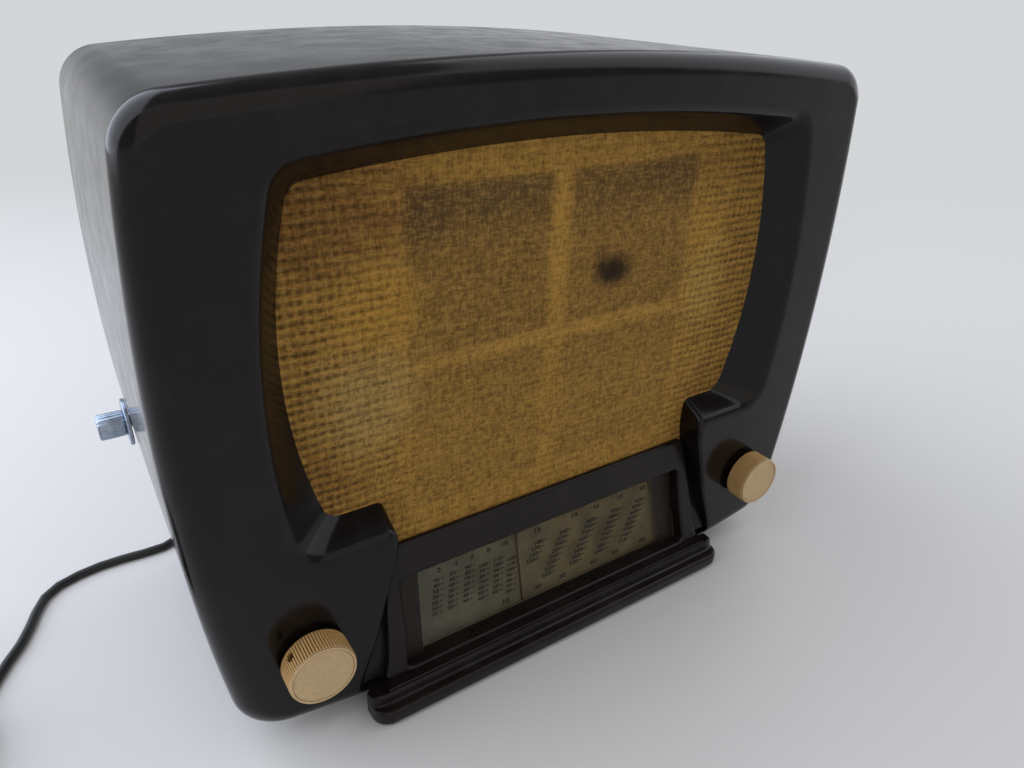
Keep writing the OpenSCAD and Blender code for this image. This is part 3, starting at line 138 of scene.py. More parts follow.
def cleanMesh(piece, merge=0.000002):
    # Doubles merged and faces turned outwards
    pickOnly(piece)
    bpy.ops.object.mode_set(mode="EDIT")
    bpy.ops.mesh.select_all(action="SELECT")
    if merge:
        bpy.ops.mesh.remove_doubles(threshold=merge)
    bpy.ops.mesh.normals_make_consistent(inside=False)
    bpy.ops.mesh.select_all(action="DESELECT")
    bpy.ops.object.mode_set(mode="OBJECT")


def perMetre(mm):
    # Noise scale whose features are about this many millimetres wide
    return 1000 / mm


lead = {
    "diameter": 4.8,
    "route": [(-70, 206, 36), (-70, 212, 36), (-70, 220, 35), (-72, 228, 31.5), (-76, 235, 25.5),
              (-83, 240, 18), (-92, 243, 11), (-103, 243, 6), (-115, 240, 3), (-127, 234, 2.4),
              (-138, 226, 2.4), (-148, 217, 2.4), (-158, 207, 2.4), (-168, 199, 2.4),
              (-179, 194, 2.4), (-191, 194, 2.4), (-203, 195, 2.4), (-215, 195, 2.4),
              (-227, 193, 2.4), (-238, 189, 2.4), (-246, 182, 2.4), (-251, 172, 2.4),
              (-255, 161, 2.4), (-260, 150, 2.4), (-267, 139, 2.4), (-273, 128, 2.4),
              (-278, 117, 2.4), (-280, 106, 2.4)],
    "coilMiddle": (-312, 96), "coilRadius": 32, "coilStep": 5.8, "layer": 5.5,
    "turns": 7.5, "pointsPerTurn": 24,
    "plugHeight": 13.5, "plugBack": 36,
}


def coilPoint(t):
    # Draws in for two turns and spreads for two, one layer on the other
    u = t % 4
    r = lead["coilRadius"] - lead["coilStep"] * (u if u < 2 else 4 - u)
    rise = min(1, max(0, ((t + 0.25) % 2) * 2))
    level = math.floor((t + 0.25) / 2) + rise - 1 + (1 - rise if t < 0.25 else 0)
    a = math.radians(-360 * t)
    return (lead["coilMiddle"][0] + r * math.cos(a), lead["coilMiddle"][1] + r * math.sin(a),
            lead["diameter"] / 2 + lead["layer"] * level)


def leadPoints():
    steps = int(lead["turns"] * lead["pointsPerTurn"])
    coil = [coilPoint(k / lead["pointsPerTurn"]) for k in range(steps + 1)]
    # From the last turn up into the plug, which lies on the table
    x, y, z = coil[-1]
    plugY, plugZ = y + lead["plugBack"], lead["plugHeight"]
    tail = [(x, y + 10, z - 0.3), (x, y + 20, (z + plugZ) / 2 + 0.8),
            (x, plugY - lead["diameter"] - 1, plugZ), (x, plugY, plugZ)]
    return [place(*p) for p in lead["route"] + coil + tail]


def makeLead():
    points = leadPoints()
    line = bpy.data.curves.new("mainsLead", "CURVE")
    line.dimensions = "3D"
    line.bevel_depth = lead["diameter"] / 2000
    line.bevel_resolution = 3
    line.use_fill_caps = True
    run = line.splines.new("POLY")
    run.points.add(len(points) - 1)
    for spot, p in zip(run.points, points):
        spot.co = (*p, 1)
    run.use_smooth = True
    piece = bpy.data.objects.new("mainsLead", line)
    bpy.context.scene.collection.objects.link(piece)
    pickOnly(piece)
    bpy.ops.object.convert(target="MESH")
    piece = bpy.context.object
    piece.data.name = "mainsLead"
    cleanMesh(piece)
    bpy.ops.object.shade_smooth_by_angle(angle=math.radians(50))
    piece.select_set(False)
    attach(piece, "set")
    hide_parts("mains_cord", "cord_coil")
    return piece


mainsLead = makeLead()

pressing = {
    # Widths in mm: brown swirls in the mix, patches of polish, slow waves of the die, grain
    "swirlMm": 38, "hazeMm": 17, "waveMm": 55, "grainMm": 0.9,
    "dustHex": "#4b4846", "reliefMm": 1.6, "grainShare": 0.012,
}


def mouldedPhenolic(name, deepHex, brownHex, gloss, dustShare):
    # Phenolic pressed in a polished die: brown-black, glossy, faintly wavy, with a haze of
    # polish and dust that dulls it in patches
    p = pressing
    made, tree, spot = startMaterial(name)
    swirl = addNode(tree, "TexNoise", (spot, perMetre(p["swirlMm"]), 4.0, 0.6))
    haze = addNode(tree, "TexNoise", (spot, perMetre(p["hazeMm"]), 7.0, 0.68))
    wave = addNode(tree, "TexNoise", (spot, perMetre(p["waveMm"]), 1.0))
    grain = addNode(tree, "TexNoise", (spot, perMetre(p["grainMm"]), 2.0))
    tone = addNode(tree, "Mix", (swirl, colour(deepHex), colour(brownHex)), data_type="RGBA")
    dust = addNode(tree, "MapRange", (haze, 0.5, 0.8, 0.0, dustShare))
    tone = addNode(tree, "Mix", (dust, tone, colour(p["dustHex"])), data_type="RGBA")
    polish = addNode(tree, "MapRange", (haze, 0.3, 0.75, *gloss))
    rise = addNode(tree, "Math", (grain, p["grainShare"], wave), operation="MULTIPLY_ADD")
    return endMaterial(made, {"Base Color": tone, "Roughness": polish, "IOR": 1.52,
                              "Specular IOR Level": 0.22}, (rise, 0.25, p["reliefMm"]))


knob = {
    "x": 141.9, "z": 55, "radius": 15.5, "flutes": 72,
    "grubY": 8.5, "grubR": 2.0, "grubAway": 11, "grubLong": 14,
    # Depth of a flute, and the share of it at each of the four steps from flute to flute
    "fluteDepth": 0.6, "fluteShape": [0, 0.08, 1.0, 0.08],
    # Radius and depth from the face, in mm: face, thin rim, fluted wall, hollow back and hub
    "profile": [(0, 0.5), (7, 0.5), (12.6, 0.46), (13.75, 0.44), (13.95, 0.62), (14.1, 0.2),
                (14.25, 0.06), (14.75, 0.03), (15.0, 0.14), (15.1, 0.4), (15.12, 0.95),
                (15.5, 1.35), (15.5, 2.4), (15.5, 11.4), (15.5, 12.2), (15.1, 12.75),
                (13.1, 12.9), (13.1, 7.2), (6.5, 7.2), (6.5, 12.7), (3.2, 12.7), (3.2, 3.2),
                (0, 3.2)],
}
ivory = {
    "cloudMm": 9, "grimeMm": 2.5, "specks": 0.22, "wallFrom": (0.9, 1.6),
    # The face's two tones carry a painted reflection: greyer than the cream of the wall
    "faceToneAndReflectionHex": ("#b8996c", "#cbb082"), "wallHex": ("#b78f56", "#cba56c"), "dirtHex": "#6e4c26",
    # Dirt in the flutes and in the face's ring: its strength, and where it grows from none to
    # all, in mm from the spindle or deep below the face
    "dirt": [(0.8, [("away", 15.45, 15.1), ("deep", 0.6, 1.8)]),
             (0.6, [("deep", 0.22, 0.45), ("deep", 1.2, 0.8), ("away", 13.6, 13.8)])],
}


def mouldedUrea():
    # Urea pressed in a die and gone yellow: creamy and waxy, painted greyer on the face as a
    # painted reflection, with brown dirt left in the flutes and in the ring round the face
    made, tree, spot = startMaterial("mouldedUrea")
    parts = addNode(tree, "SeparateXYZ", [spot]).outputs
    cloud = addNode(tree, "TexNoise", (spot, perMetre(ivory["cloudMm"]), 4.0))
    grime = addNode(tree, "TexNoise", (spot, perMetre(ivory["grimeMm"]), 6.0))
    # The spindles stand as far to the left of the set's middle as to its right
    across = addNode(tree, "Math", (parts["X"], setShift[0] / 1000), operation="SUBTRACT")
    across = addNode(tree, "Math", [across], operation="ABSOLUTE")
    across = addNode(tree, "Math", (across, knob["x"] / 1000), operation="SUBTRACT")
    up = addNode(tree, "Math", (parts["Z"], knob["z"] / 1000), operation="SUBTRACT")
    off = addNode(tree, "CombineXYZ", (across, 0.0, up))
    far = {"away": addNode(tree, "VectorMath", [off], operation="LENGTH"),
           "deep": addNode(tree, "Math", (parts["Y"], setShift[1] / 1000), operation="SUBTRACT")}
    # The face's tones are greyer than the wall's: a painted reflection over the cream
    face, wall = [addNode(tree, "Mix", (cloud, *map(colour, ivory[tones])), data_type="RGBA")
                  for tones in ("faceToneAndReflectionHex", "wallHex")]
    low, high = ivory["wallFrom"]
    part = addNode(tree, "MapRange", (far["deep"], low / 1000, high / 1000))
    tone = addNode(tree, "Mix", (part, face, wall), data_type="RGBA")
    dirt = addNode(tree, "MapRange", (grime, 0.5, 0.8, 0.0, ivory["specks"]))
    for part, edges in ivory["dirt"]:
        for way, low, high in edges:
            edge = addNode(tree, "MapRange", (far[way], low / 1000, high / 1000))
            part = addNode(tree, "Math", (part, edge), operation="MULTIPLY")
        dirt = addNode(tree, "Math", (dirt, part), operation="MAXIMUM")
    tone = addNode(tree, "Mix", (dirt, tone, colour(ivory["dirtHex"])), data_type="RGBA")
    return endMaterial(made, {"Base Color": tone, "Roughness": 0.42, "IOR": 1.53},
                       (grime, 0.15, 0.2))


cloth = {
    # The lit-thread and furrow tones are painted light: a painted highlight on raised threads,
    # painted shade between threads and in the furrows
    "baseHex": "#956f32", "goldHex": "#ac833c", "threadHighlightHex": "#d0a454", "weaveShadeHex": "#33210b",
    "dustHex": "#4a3a24", "sheenHex": "#c89a58",
    # Ribs across and up the cloth, how far they wander, and how high the ribs and threads stand
    "ribMm": 4.25, "columnMm": 4.1, "wanderMm": 2.6, "reliefMm": 1.2,
    # The ribs stand out at the sides, where the cloth isn't drawn tight over the board: from and
    # to how far from its middle in metres, how strong they are at both, and that middle in mm
    "slack": [(0.072, 0.098, 0.16, 0.62), (0.1, 0.122, 0.0, 0.42)], "slackMiddle": -3,
    # Noises: width in mm, stretch, detail and roughness. The threads are just over a millimetre
    # apart both ways, drawn as short streaks of uneven strength.
    "noises": {
        "drift": (14, (1, 1, 1), 3.0, 0.5), "uneven": (6, (0.5, 1, 1), 3.0, 0.5),
        "weft": (1.1, (0.3, 1, 1), 1.0, 0.5), "warp": (1.1, (1, 1, 0.3), 1.0, 0.5),
        "fuzz": (0.8, (1, 1, 1), 2.0, 0.6), "slub": (4.5, (1, 1, 1), 5.0, 0.7),
        "ragged": (11, (1, 1, 1), 6.0, 0.75),
    },
    "threads": {"weft": 0.36, "warp": 0.34, "fuzz": 0.3},
    # Windows of the board: left edge, foot, width, height in mm and how much each shows
    "windows": [(-80, 180, 71, 74, 0.62), (3, 180, 76, 74, 0.6), (-80, 101, 71, 71, 0.27),
                (3, 101, 76, 71, 0.29)],
    "windowEdge": 2,
    # Patches below the threads: middle, half width and half height in mm, strength and tone
    "patches": [
        (-112, 248, 44, 26, 0.6, "#6b4522"), (108, 250, 40, 14, 0.4, "#70501f"),
        (-130, 130, 22, 26, 0.4, "#75491f"), (118, 118, 26, 12, 0.4, "#7a5124"),
        (-95, 206, 22, 20, 0.45, "#b98b35"), (-101, 165, 26, 26, 0.42, "#b39a62"),
        (97, 184, 14, 26, 0.5, "#bb9a4e"), (92, 216, 14, 14, 0.4, "#bd8e3a"),
        (-4, 220, 4.5, 40, 0.35, "#c29443"), (0, 176.5, 80, 4, 0.35, "#bd9246"),
        (-70, 243, 13, 15, 0.38, "#3a3023"), (-34, 247, 26, 8, 0.3, "#40352a"),
        (60, 248, 22, 10, 0.42, "#40331f"), (28, 247, 16, 7, 0.25, "#4a3a24"),
    ],
    # Stains over them, in front of the loudspeaker's middle
    "stains": [(31, 203, 13, 8.5, 0.85, "#1a100a"), (30, 202, 7, 5, 0.6, "#0c0705"),
               (22, 212, 5, 7, 0.35, "#2c1b0e")],
    # Painted highlight on the raised threads, painted shade between them and in the furrows
    # between the ribs: from, to, strengths
    "shades": [("threads", (0.5, 0.64, 0.0, 0.3), "threadHighlightHex"),
               ("threads", (0.36, 0.51, 0.52, 0.0), "weaveShadeHex"),
               ("waffle", (-1.2, 0.1, 0.7, 0.0), "weaveShadeHex")],
    "halfWidth": 147, "top": 279, "foot": 101, "tongueHalf": 102, "tongueFoot": 80,
    "front": 32.05, "thick": 0.7,
}


def spread(tree, spot, fray, tone, patches):
    # Oval patches with soft, frayed edges over a tone
    for middleX, middleZ, halfX, halfZ, depth, code in patches:
        laid = addNode(tree, "Mapping", {
            "Vector": spot, "Scale": (1000 / halfX, 0, 1000 / halfZ),
            "Location": (-(middleX + setShift[0]) / halfX, 0, -middleZ / halfZ)})
        far = addNode(tree, "VectorMath", [laid], operation="LENGTH")
        far = addNode(tree, "Math", (far, fray), operation="ADD")
        part = addNode(tree, "MapRange", (far, 0.35, 1.35, depth, 0.0),
                       interpolation_type="SMOOTHSTEP")
        tone = addNode(tree, "Mix", (part, tone, colour(code)), data_type="RGBA")
    return tone


def wovenCloth():
    # Coarse cotton weave with raised ribs: golden tan threads of uneven thickness, painted lighter
    # on the raised threads and darker between them and in the furrows as painted light and shade,
    # with old dust that shows the board's four windows, and brown and faded patches
    c = cloth
    made, tree, spot = startMaterial("wovenCloth")
    parts = addNode(tree, "SeparateXYZ", [spot]).outputs
    x, z = parts["X"], parts["Z"]
    noise = {}
    for name, (mm, stretch, detail, roughness) in c["noises"].items():
        laid = addNode(tree, "Mapping", {"Vector": spot, "Scale": stretch})
        noise[name] = addNode(tree, "TexNoise", (laid, perMetre(mm), detail, roughness))
    wander = c["wanderMm"] / 1000
    wander = addNode(tree, "Math", (noise["drift"], wander, -wander / 2), operation="MULTIPLY_ADD")
    waves = []
    for way, mm in ((z, c["ribMm"]), (x, c["columnMm"])):
        way = addNode(tree, "Math", (way, wander), operation="ADD")
        way = addNode(tree, "Math", (way, 2000 * math.pi / mm), operation="MULTIPLY")
        waves.append(addNode(tree, "Math", [way], operation="SINE"))
    middle = (setShift[0] + c["slackMiddle"]) / 1000
    out = addNode(tree, "Math", (x, middle), operation="SUBTRACT")
    out = addNode(tree, "Math", [out], operation="ABSOLUTE")
    slack = [addNode(tree, "MapRange", (out, *reach), interpolation_type="SMOOTHSTEP")
             for reach in c["slack"]]
    waffle = addNode(tree, "Math", (waves[1], 0.4, waves[0]), operation="MULTIPLY_ADD")
    for part in (addNode(tree, "Math", slack, operation="ADD"),
                 addNode(tree, "MapRange", (noise["uneven"], 0.35, 0.65, 0.55, 1.25))):
        waffle = addNode(tree, "Math", (waffle, part), operation="MULTIPLY")
    threads = 0.0
    for name, part in c["threads"].items():
        threads = addNode(tree, "Math", (noise[name], part, threads), operation="MULTIPLY_ADD")
    part = addNode(tree, "MapRange", (noise["slub"], 0.35, 0.7))
    base = addNode(tree, "Mix", (part, colour(c["baseHex"]), colour(c["goldHex"])),
                   data_type="RGBA")
    worn = addNode(tree, "MapRange", (noise["ragged"], 0.3, 0.7, 0.7, 1.25))
    soft = c["windowEdge"] / 1000
    for left, low, width, height, depth in c["windows"]:
        x0, x1 = (left + setShift[0]) / 1000, (left + width + setShift[0]) / 1000
        z0, z1 = low / 1000, (low + height) / 1000
        # Dust shows most at a window's head
        part = addNode(tree, "MapRange", (z, z0 + 0.04, z1 - 0.012, depth * 0.62, depth),
                       interpolation_type="SMOOTHSTEP")
        part = addNode(tree, "Math", (part, worn), operation="MULTIPLY")
        for way, at, inwards in ((x, x0, soft), (x, x1, -soft), (z, z0, soft), (z, z1, -soft)):
            edge = addNode(tree, "MapRange", (way, at - inwards, at + inwards),
                           interpolation_type="SMOOTHSTEP")
            part = addNode(tree, "Math", (part, edge), operation="MULTIPLY")
        base = addNode(tree, "Mix", (part, base, colour(c["dustHex"])), data_type="RGBA")
    fray = addNode(tree, "Math", (noise["ragged"], 1.4, -0.7), operation="MULTIPLY_ADD")
    base = spread(tree, spot, fray, base, c["patches"])
    relief = {"threads": threads, "waffle": waffle}
    # Painted light and shade of the weave: lighter on the raised threads, darker between them and
    # in the furrows
    for name, reach, tone in c["shades"]:
        part = addNode(tree, "MapRange", (relief[name], *reach))
        base = addNode(tree, "Mix", (part, base, colour(c[tone])), data_type="RGBA")
    base = spread(tree, spot, fray, base, c["stains"])
    height = addNode(tree, "Math", (threads, 1.3), operation="MULTIPLY")
    height = addNode(tree, "Math", (waffle, 0.55, height), operation="MULTIPLY_ADD")
    return endMaterial(made, {"Base Color": base, "Roughness": 0.88, "Sheen Weight": 0.12,
                              "Sheen Tint": colour(c["sheenHex"]), "Specular IOR Level": 0.2},
                       (height, 1.0, c["reliefMm"]))


valves = {
    "baseTop": 91, "flashLow": 136, "flashTop": 150, "smokeMm": 7,
    "baseHex": "#1d1512", "clearHex": "#2b2d2e", "flashHex": "#a9adb0",
}


def valveGlass():
    # Blown glass over a dark moulded base, with a smoky silver flash inside its top
    v = valves
    made, tree, spot = startMaterial("valveGlass")
    height = addNode(tree, "SeparateXYZ", [spot]).outputs["Z"]
    over = addNode(tree, "Math", (height, v["baseTop"] / 1000), operation="GREATER_THAN")
    flash = addNode(tree, "MapRange", (height, v["flashLow"] / 1000, v["flashTop"] / 1000),
                    interpolation_type="SMOOTHSTEP")
    smoke = addNode(tree, "TexNoise", (spot, perMetre(v["smokeMm"]), 3.0))
    tone = addNode(tree, "Mix", (flash, colour(v["clearHex"]), colour(v["flashHex"])),
                   data_type="RGBA")
    tone = addNode(tree, "Mix", (over, colour(v["baseHex"]), tone), data_type="RGBA")
    alpha = addNode(tree, "Math", (smoke, 0.25, 0.2), operation="MULTIPLY_ADD")
    for part in (flash, addNode(tree, "Math", (1.0, over), operation="SUBTRACT")):
        alpha = addNode(tree, "Math", (alpha, part), operation="MAXIMUM")
    return endMaterial(made, {"Base Color": tone, "Alpha": alpha, "Roughness": 0.08, "IOR": 1.5})


def clearGlass(name, tintHex, alpha, roughness):
    # Drawn glass: clear with a thin film of old dust, which carries its tint
    made, tree, spot = startMaterial(name)
    film = addNode(tree, "TexNoise", (spot, perMetre(16), 6.0))
    veil = addNode(tree, "MapRange", (film, 0.3, 0.7, alpha * 0.8, alpha * 1.2))
    return endMaterial(made, {"Base Color": colour(tintHex), "Alpha": veil, "IOR": 1.5,
                              "Roughness": roughness, "Specular IOR Level": 0.25})


card = {
    "mottleMm": 13, "warmHex": ("#857650", "#a8966a"), "coldHex": ("#717a6b", "#949a86"),
    # The grey end: from and to in metres, and how grey it is at both
    "grey": (-0.085, 0.02, 0.9, 0.0),
}


def printedCard():
    # Card printed olive and yellowed by the lamps: mottled, and greyer towards its left end
    made, tree, spot = startMaterial("printedCard")
    along = addNode(tree, "SeparateXYZ", [spot]).outputs["X"]
    grey = addNode(tree, "MapRange", (along, *card["grey"]))
    patch = addNode(tree, "TexNoise", (spot, perMetre(card["mottleMm"]), 6.0, 0.65))
    part = addNode(tree, "MapRange", (patch, 0.3, 0.7))
    warm, cold = [addNode(tree, "Mix", (part, *map(colour, card[tones])), data_type="RGBA")
                  for tones in ("warmHex", "coldHex")]
    tone = addNode(tree, "Mix", (grey, warm, cold), data_type="RGBA")
    return endMaterial(made, {"Base Color": tone, "Roughness": 0.8}, (patch, 0.2, 0.1))


def laminatedCore():
    # Lacquered transformer plates: dark edges of sheet iron, drawn 1 mm apart so that they show.
    # At scale 1 the bands are 0.31416 apart.
    made, tree, spot = startMaterial("laminatedCore")
    plates = addNode(tree, "TexWave", {"Vector": spot, "Scale": perMetre(1) * 0.31416,
                                       "Distortion": 0.3}, bands_direction="Y").outputs["Fac"]
    patch = addNode(tree, "TexNoise", (spot, perMetre(8), 4.0))
    tone = addNode(tree, "Mix", (patch, colour("#2b2622"), colour("#4c443c")), data_type="RGBA")
    tone = addNode(tree, "Mix", (plates, colour("#1b1714"), tone), data_type="RGBA")
    return endMaterial(made, {"Base Color": tone, "Roughness": 0.5}, (plates, 0.3, 0.2))


def plainFinish(name, tones, patchMm, roughness, metallic, grainMm, reliefMm,
                stretch=(1.0, 1.0, 1.0)):
    # Two tones in patches, rougher from patch to patch, with a fine grain
    made, tree, spot = startMaterial(name)
    laid = addNode(tree, "Mapping", {"Vector": spot, "Scale": stretch})
    patch = addNode(tree, "TexNoise", (laid, perMetre(patchMm), 5.0, 0.6))
    grain = addNode(tree, "TexNoise", (laid, perMetre(grainMm), 2.0))
    part = addNode(tree, "MapRange", (patch, 0.3, 0.7))
    tone = addNode(tree, "Mix", (part, *map(colour, tones)), data_type="RGBA")
    rough = addNode(tree, "MapRange", (patch, 0.3, 0.7, *roughness))
    return endMaterial(made, {"Base Color": tone, "Roughness": rough, "Metallic": metallic},
                       (grain, 0.4, reliefMm))


# The CAD nodes that it dresses, two tones, the width of the patches in mm, roughness from patch to
# patch, metallic, and the width and the height of the grain in mm
plainFinishes = {
    # Sheet steel dipped in zinc: soft grey metal with a cloudy bloom
    "zincPlatedSteel": (["pointer_rail", "chassis", "gang_frame", "drive_plate", "side_bracket",
                         "drive_drum"],
                        ("#76756f", "#a3a298"), 11, (0.32, 0.5), 0.9, 0.8, 0.03),
    # Screws, rolled and plated: warm grey and a little bright, dulled by age
    "platedScrewSteel": (["baffle_screws", "speaker_bolts", "rear_cover_screws", "chassis_bolts",
                          "tuning_grub_screw", "volume_grub_screw"],
                         ("#8f897a", "#b9b3a2"), 3, (0.3, 0.45), 0.9, 0.4, 0.02),
    # Steel bar, turned: clean grey with a keen shine
    "turnedSteel": (["tuning_spindle", "volume_spindle", "side_spindle", "tension_spring"],
                    ("#8e8f8e", "#b5b6b4"), 5, (0.24, 0.36), 1.0, 0.5, 0.02),
    # Brass bar, turned and left bare: dull gold, browner in patches
    "turnedBrass": (["left_pulley", "right_pulley", "tuning_bush", "lamp_holders", "side_switch"],
                    ("#8c6f37", "#b99a58"), 4, (0.28, 0.42), 1.0, 0.4, 0.02),
    # Aluminium, spun or rolled thin: pale satin grey
    "spunAluminium": (["first_if_can", "second_if_can", "smoothing_can", "gang_stator",
                       "gang_rotor"],
                      ("#9c9e9c", "#bfc0bd"), 9, (0.3, 0.46), 1.0, 0.6, 0.03),
    # Alloy bar, turned and polished: bright and faintly blue
    "turnedAlloy": (["side_knob"], ("#8592a5", "#a9b5c5"), 4, (0.2, 0.34), 0.9, 0.5, 0.02),
    # Enamel stoved on pressed steel: flat grey with a slight orange peel
    "stovedGreyPaint": (["speaker_basket"],
                        ("#4e514f", "#666965"), 14, (0.4, 0.55), 0.0, 0.7, 0.05),
    # Magnet alloy as cast: dark, rough and brownish
    "castMagnetAlloy": (["speaker_magnet"],
                        ("#48423c", "#6b6359"), 6, (0.5, 0.7), 0.6, 1.1, 0.15),
    # Paper felted from pulp: soft black-brown without shine
    "feltedPaper": (["speaker_cone"], ("#2c2822", "#453e34"), 5, (0.8, 0.95), 0.0, 0.9, 0.12),
    # Fibre board, pressed hard: brown and mottled with a dull sheen
    "pressedFibreBoard": (["rear_cover"],
                          ("#3a281b", "#553c29"), 16, (0.66, 0.85), 0.0, 0.8, 0.1),
    # Birch veneer, sawn: pale brown with its figure drawn out along the board
    "birchPly": (["baffle_board"], ("#8f6a41", "#b38c5c"), 7, (0.6, 0.75), 0.0, 1.2, 0.08,
                 (0.25, 1.0, 1.0)),
    # Rubber, cured in a mould: near black and matt
    "vulcanisedRubber": (["rubber_feet", "cord_relief"],
                         ("#131211", "#26241f"), 6, (0.55, 0.75), 0.0, 0.5, 0.05),
    # Rubber drawn over the wires: near black with a worn half shine
    "rubberLead": ([], ("#0f0f0e", "#1d1c1a"), 5, (0.42, 0.6), 0.0, 0.7, 0.05),
    # Phenolic with wood flour, moulded: dark brown, half glossy
    "brownMoulding": (["valve_sockets", "rear_sockets", "plug_body"],
                      ("#221813", "#33251c"), 6, (0.3, 0.45), 0.0, 0.6, 0.04),
    # Wool felt, pressed: fuzzy red-brown that takes no light
    "pressedFelt": (["felt_washers"], ("#3b241a", "#5a3a2b"), 2.5, (0.9, 1.0), 0.0, 0.6, 0.2),
    # Twisted thread, waxed: pale straw, a little greasy
    "waxedThread": (["drive_cord"], ("#b7ac8c", "#d8cfb4"), 2, (0.6, 0.75), 0.0, 0.4, 0.1),
    # Enamel brushed on the pointer: deep red and fairly glossy
    "darkRedEnamel": (["pointer"], ("#3a1510", "#571f15"), 6, (0.3, 0.4), 0.0, 0.5, 0.02),
    # Brass pins, nickelled: bright and slightly yellow
    "nickelledBrass": (["plug_pins"], ("#a19b84", "#c2bda6"), 4, (0.22, 0.34), 1.0, 0.4, 0.02),
    # Printer's ink, pressed on card: soft black, dry
    "scaleInk": ([], ("#14120e", "#242019"), 3, (0.6, 0.75), 0.0, 0.4, 0.01),
}


def dress(nodes, made):
    # CAD nodes keep their shape and get their finish
    for node in nodes:
        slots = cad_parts[node].data.materials
        slots.clear()
        slots.append(made)


finish = {}
for name, (nodes, *row) in plainFinishes.items():
    finish[name] = plainFinish(name, *row)
    dress(nodes, finish[name])
# The cabinet still has its polish; the dial frame and the bar have gone duller and browner
phenolic = mouldedPhenolic("mouldedPhenolic", "#0b0908", "#17110f", (0.11, 0.24), 0.1)
dullPhenolic = mouldedPhenolic("rubbedPhenolic", "#0e0a0a", "#1e1614", (0.22, 0.4), 0.15)
urea = mouldedUrea()
weave = wovenCloth()
dress(["cabinet"], phenolic)
dress(["dial_bezel", "plinth_bar"], dullPhenolic)
dress(["tuning_knob", "volume_knob"], urea)
dress(["mains_transformer", "output_transformer", "volume_control"], laminatedCore())
dress(["dial_backing"], printedCard())
dress(["scale_glass"], clearGlass("dustyScaleGlass", "#38322a", 0.22, 0.12))
dress(["dial_lamps"], clearGlass("lampGlass", "#d8d3bd", 0.35, 0.06))
dress(["rectifier_valve", "output_valve", "detector_valve", "amplifier_valve", "mixer_valve"],
      valveGlass())
mainsLead.data.materials.append(finish["rubberLead"])
print("finishes given")


# Outlines of the mouldings, in the set's own mm
def arcOf(centre, r, a0, a1, steps):
    return [(centre[0] + r * math.cos(a0 + (a1 - a0) * k / steps),
             centre[1] + r * math.sin(a0 + (a1 - a0) * k / steps)) for k in range(steps + 1)]


def quarter(steps):
    # A quarter round, step by step: what is left of its radius, and how far it has come
    turns = [math.pi / 2 * k / steps for k in range(steps + 1)]
    return [(1 - math.sin(a), 1 - math.cos(a)) for a in turns]


def heading(a, b):
    return math.atan2(b[1] - a[1], b[0] - a[0])


def meeting(c1, r1, c2, r2):
    # Where two circles meet on the right half
    gap = math.dist(c1, c2)
    way = ((c2[0] - c1[0]) / gap, (c2[1] - c1[1]) / gap)
    along = (r1 * r1 - r2 * r2 + gap * gap) / (2 * gap)
    off = math.sqrt(r1 * r1 - along * along)
    return max((c1[0] + along * way[0] + s * off * way[1],
                c1[1] + along * way[1] - s * off * way[0]) for s in (1, -1))


def arcChain(arcs, angles):
    # Arcs of centre, radius and steps that run on into each other at the angles
    out = []
    for (centre, r, steps), a0, a1 in zip(arcs, angles, angles[1:]):
        out += arcOf(centre, r, a0, a1, steps)[1 if out else 0:]
    return out


def mirrored(half):
    # Right half from its foot to its crown, then back down the left
    return half + [(-x, z) for x, z in reversed(half) if x > 0.0001]


def smoothThrough(points, steps):
    # A curve through the points, evenly stepped between each two
    ends = [(2 * points[0][0] - points[1][0], 2 * points[0][1] - points[1][1])] + list(points)
    ends.append((2 * points[-1][0] - points[-2][0], 2 * points[-1][1] - points[-2][1]))
    out = []
    for k in range(1, len(ends) - 2):
        p = ends[k - 1:k + 3]
        for j in range(steps):
            t = j / steps
            out.append(tuple(0.5 * (2 * p[1][i] + (p[2][i] - p[0][i]) * t
                                    + (2 * p[0][i] - 5 * p[1][i] + 4 * p[2][i] - p[3][i]) * t * t
                                    + (3 * p[1][i] - p[0][i] - 3 * p[2][i] + p[3][i]) * t ** 3)
                             for i in (0, 1)))
    return out + [tuple(points[-1])]


def ringed(name, rings):
    # A closed skin over rings of as many points each, given in metres
    count = len(rings[0])
    faces = []
    for k in range(len(rings) - 1):
        for j in range(count):
            a, b = k * count + j, k * count + (j + 1) % count
            faces.append((a, b, b + count, a + count))
    faces.append(tuple(reversed(range(count))))
    faces.append(tuple((len(rings) - 1) * count + j for j in range(count)))
    mesh = bpy.data.meshes.new(name)
    mesh.from_pydata([p for ring in rings for p in ring], [], faces)
    mesh.update()
    piece = bpy.data.objects.new(name, mesh)
    bpy.context.scene.collection.objects.link(piece)
    cleanMesh(piece, merge=0)
    piece.select_set(False)
    return piece


def cut(piece, tool, way):
    step = piece.modifiers.new("cut", "BOOLEAN")
    step.operation = way
    step.object = tool
    step.solver = "EXACT"
    pickOnly(piece)
    bpy.ops.object.modifier_apply(modifier=step.name)
    piece.select_set(False)
    bpy.data.objects.remove(tool)


def rod(at, r, length, axis, sides=32):
    # A plain cylinder from a point along an axis, in mm: a cutter or a boss
    middle = [at[k] + (length / 2 if "XYZ"[k] == axis else 0) for k in range(3)]
    turn = {"X": (0, math.pi / 2, 0), "Y": (math.pi / 2, 0, 0), "Z": (0, 0, 0)}[axis]
    bpy.ops.object.select_all(action="DESELECT")
    bpy.ops.mesh.primitive_cylinder_add(vertices=sides, radius=r / 1000, depth=length / 1000,
                                        location=place(*middle), rotation=turn)
    return bpy.context.object


def joined(pieces):
    bpy.ops.object.select_all(action="DESELECT")
    for piece in pieces:
        piece.select_set(True)
    bpy.context.view_layer.objects.active = pieces[0]
    bpy.ops.object.join()
    bpy.ops.object.transform_apply(location=True, rotation=True, scale=True)
    return pieces[0]


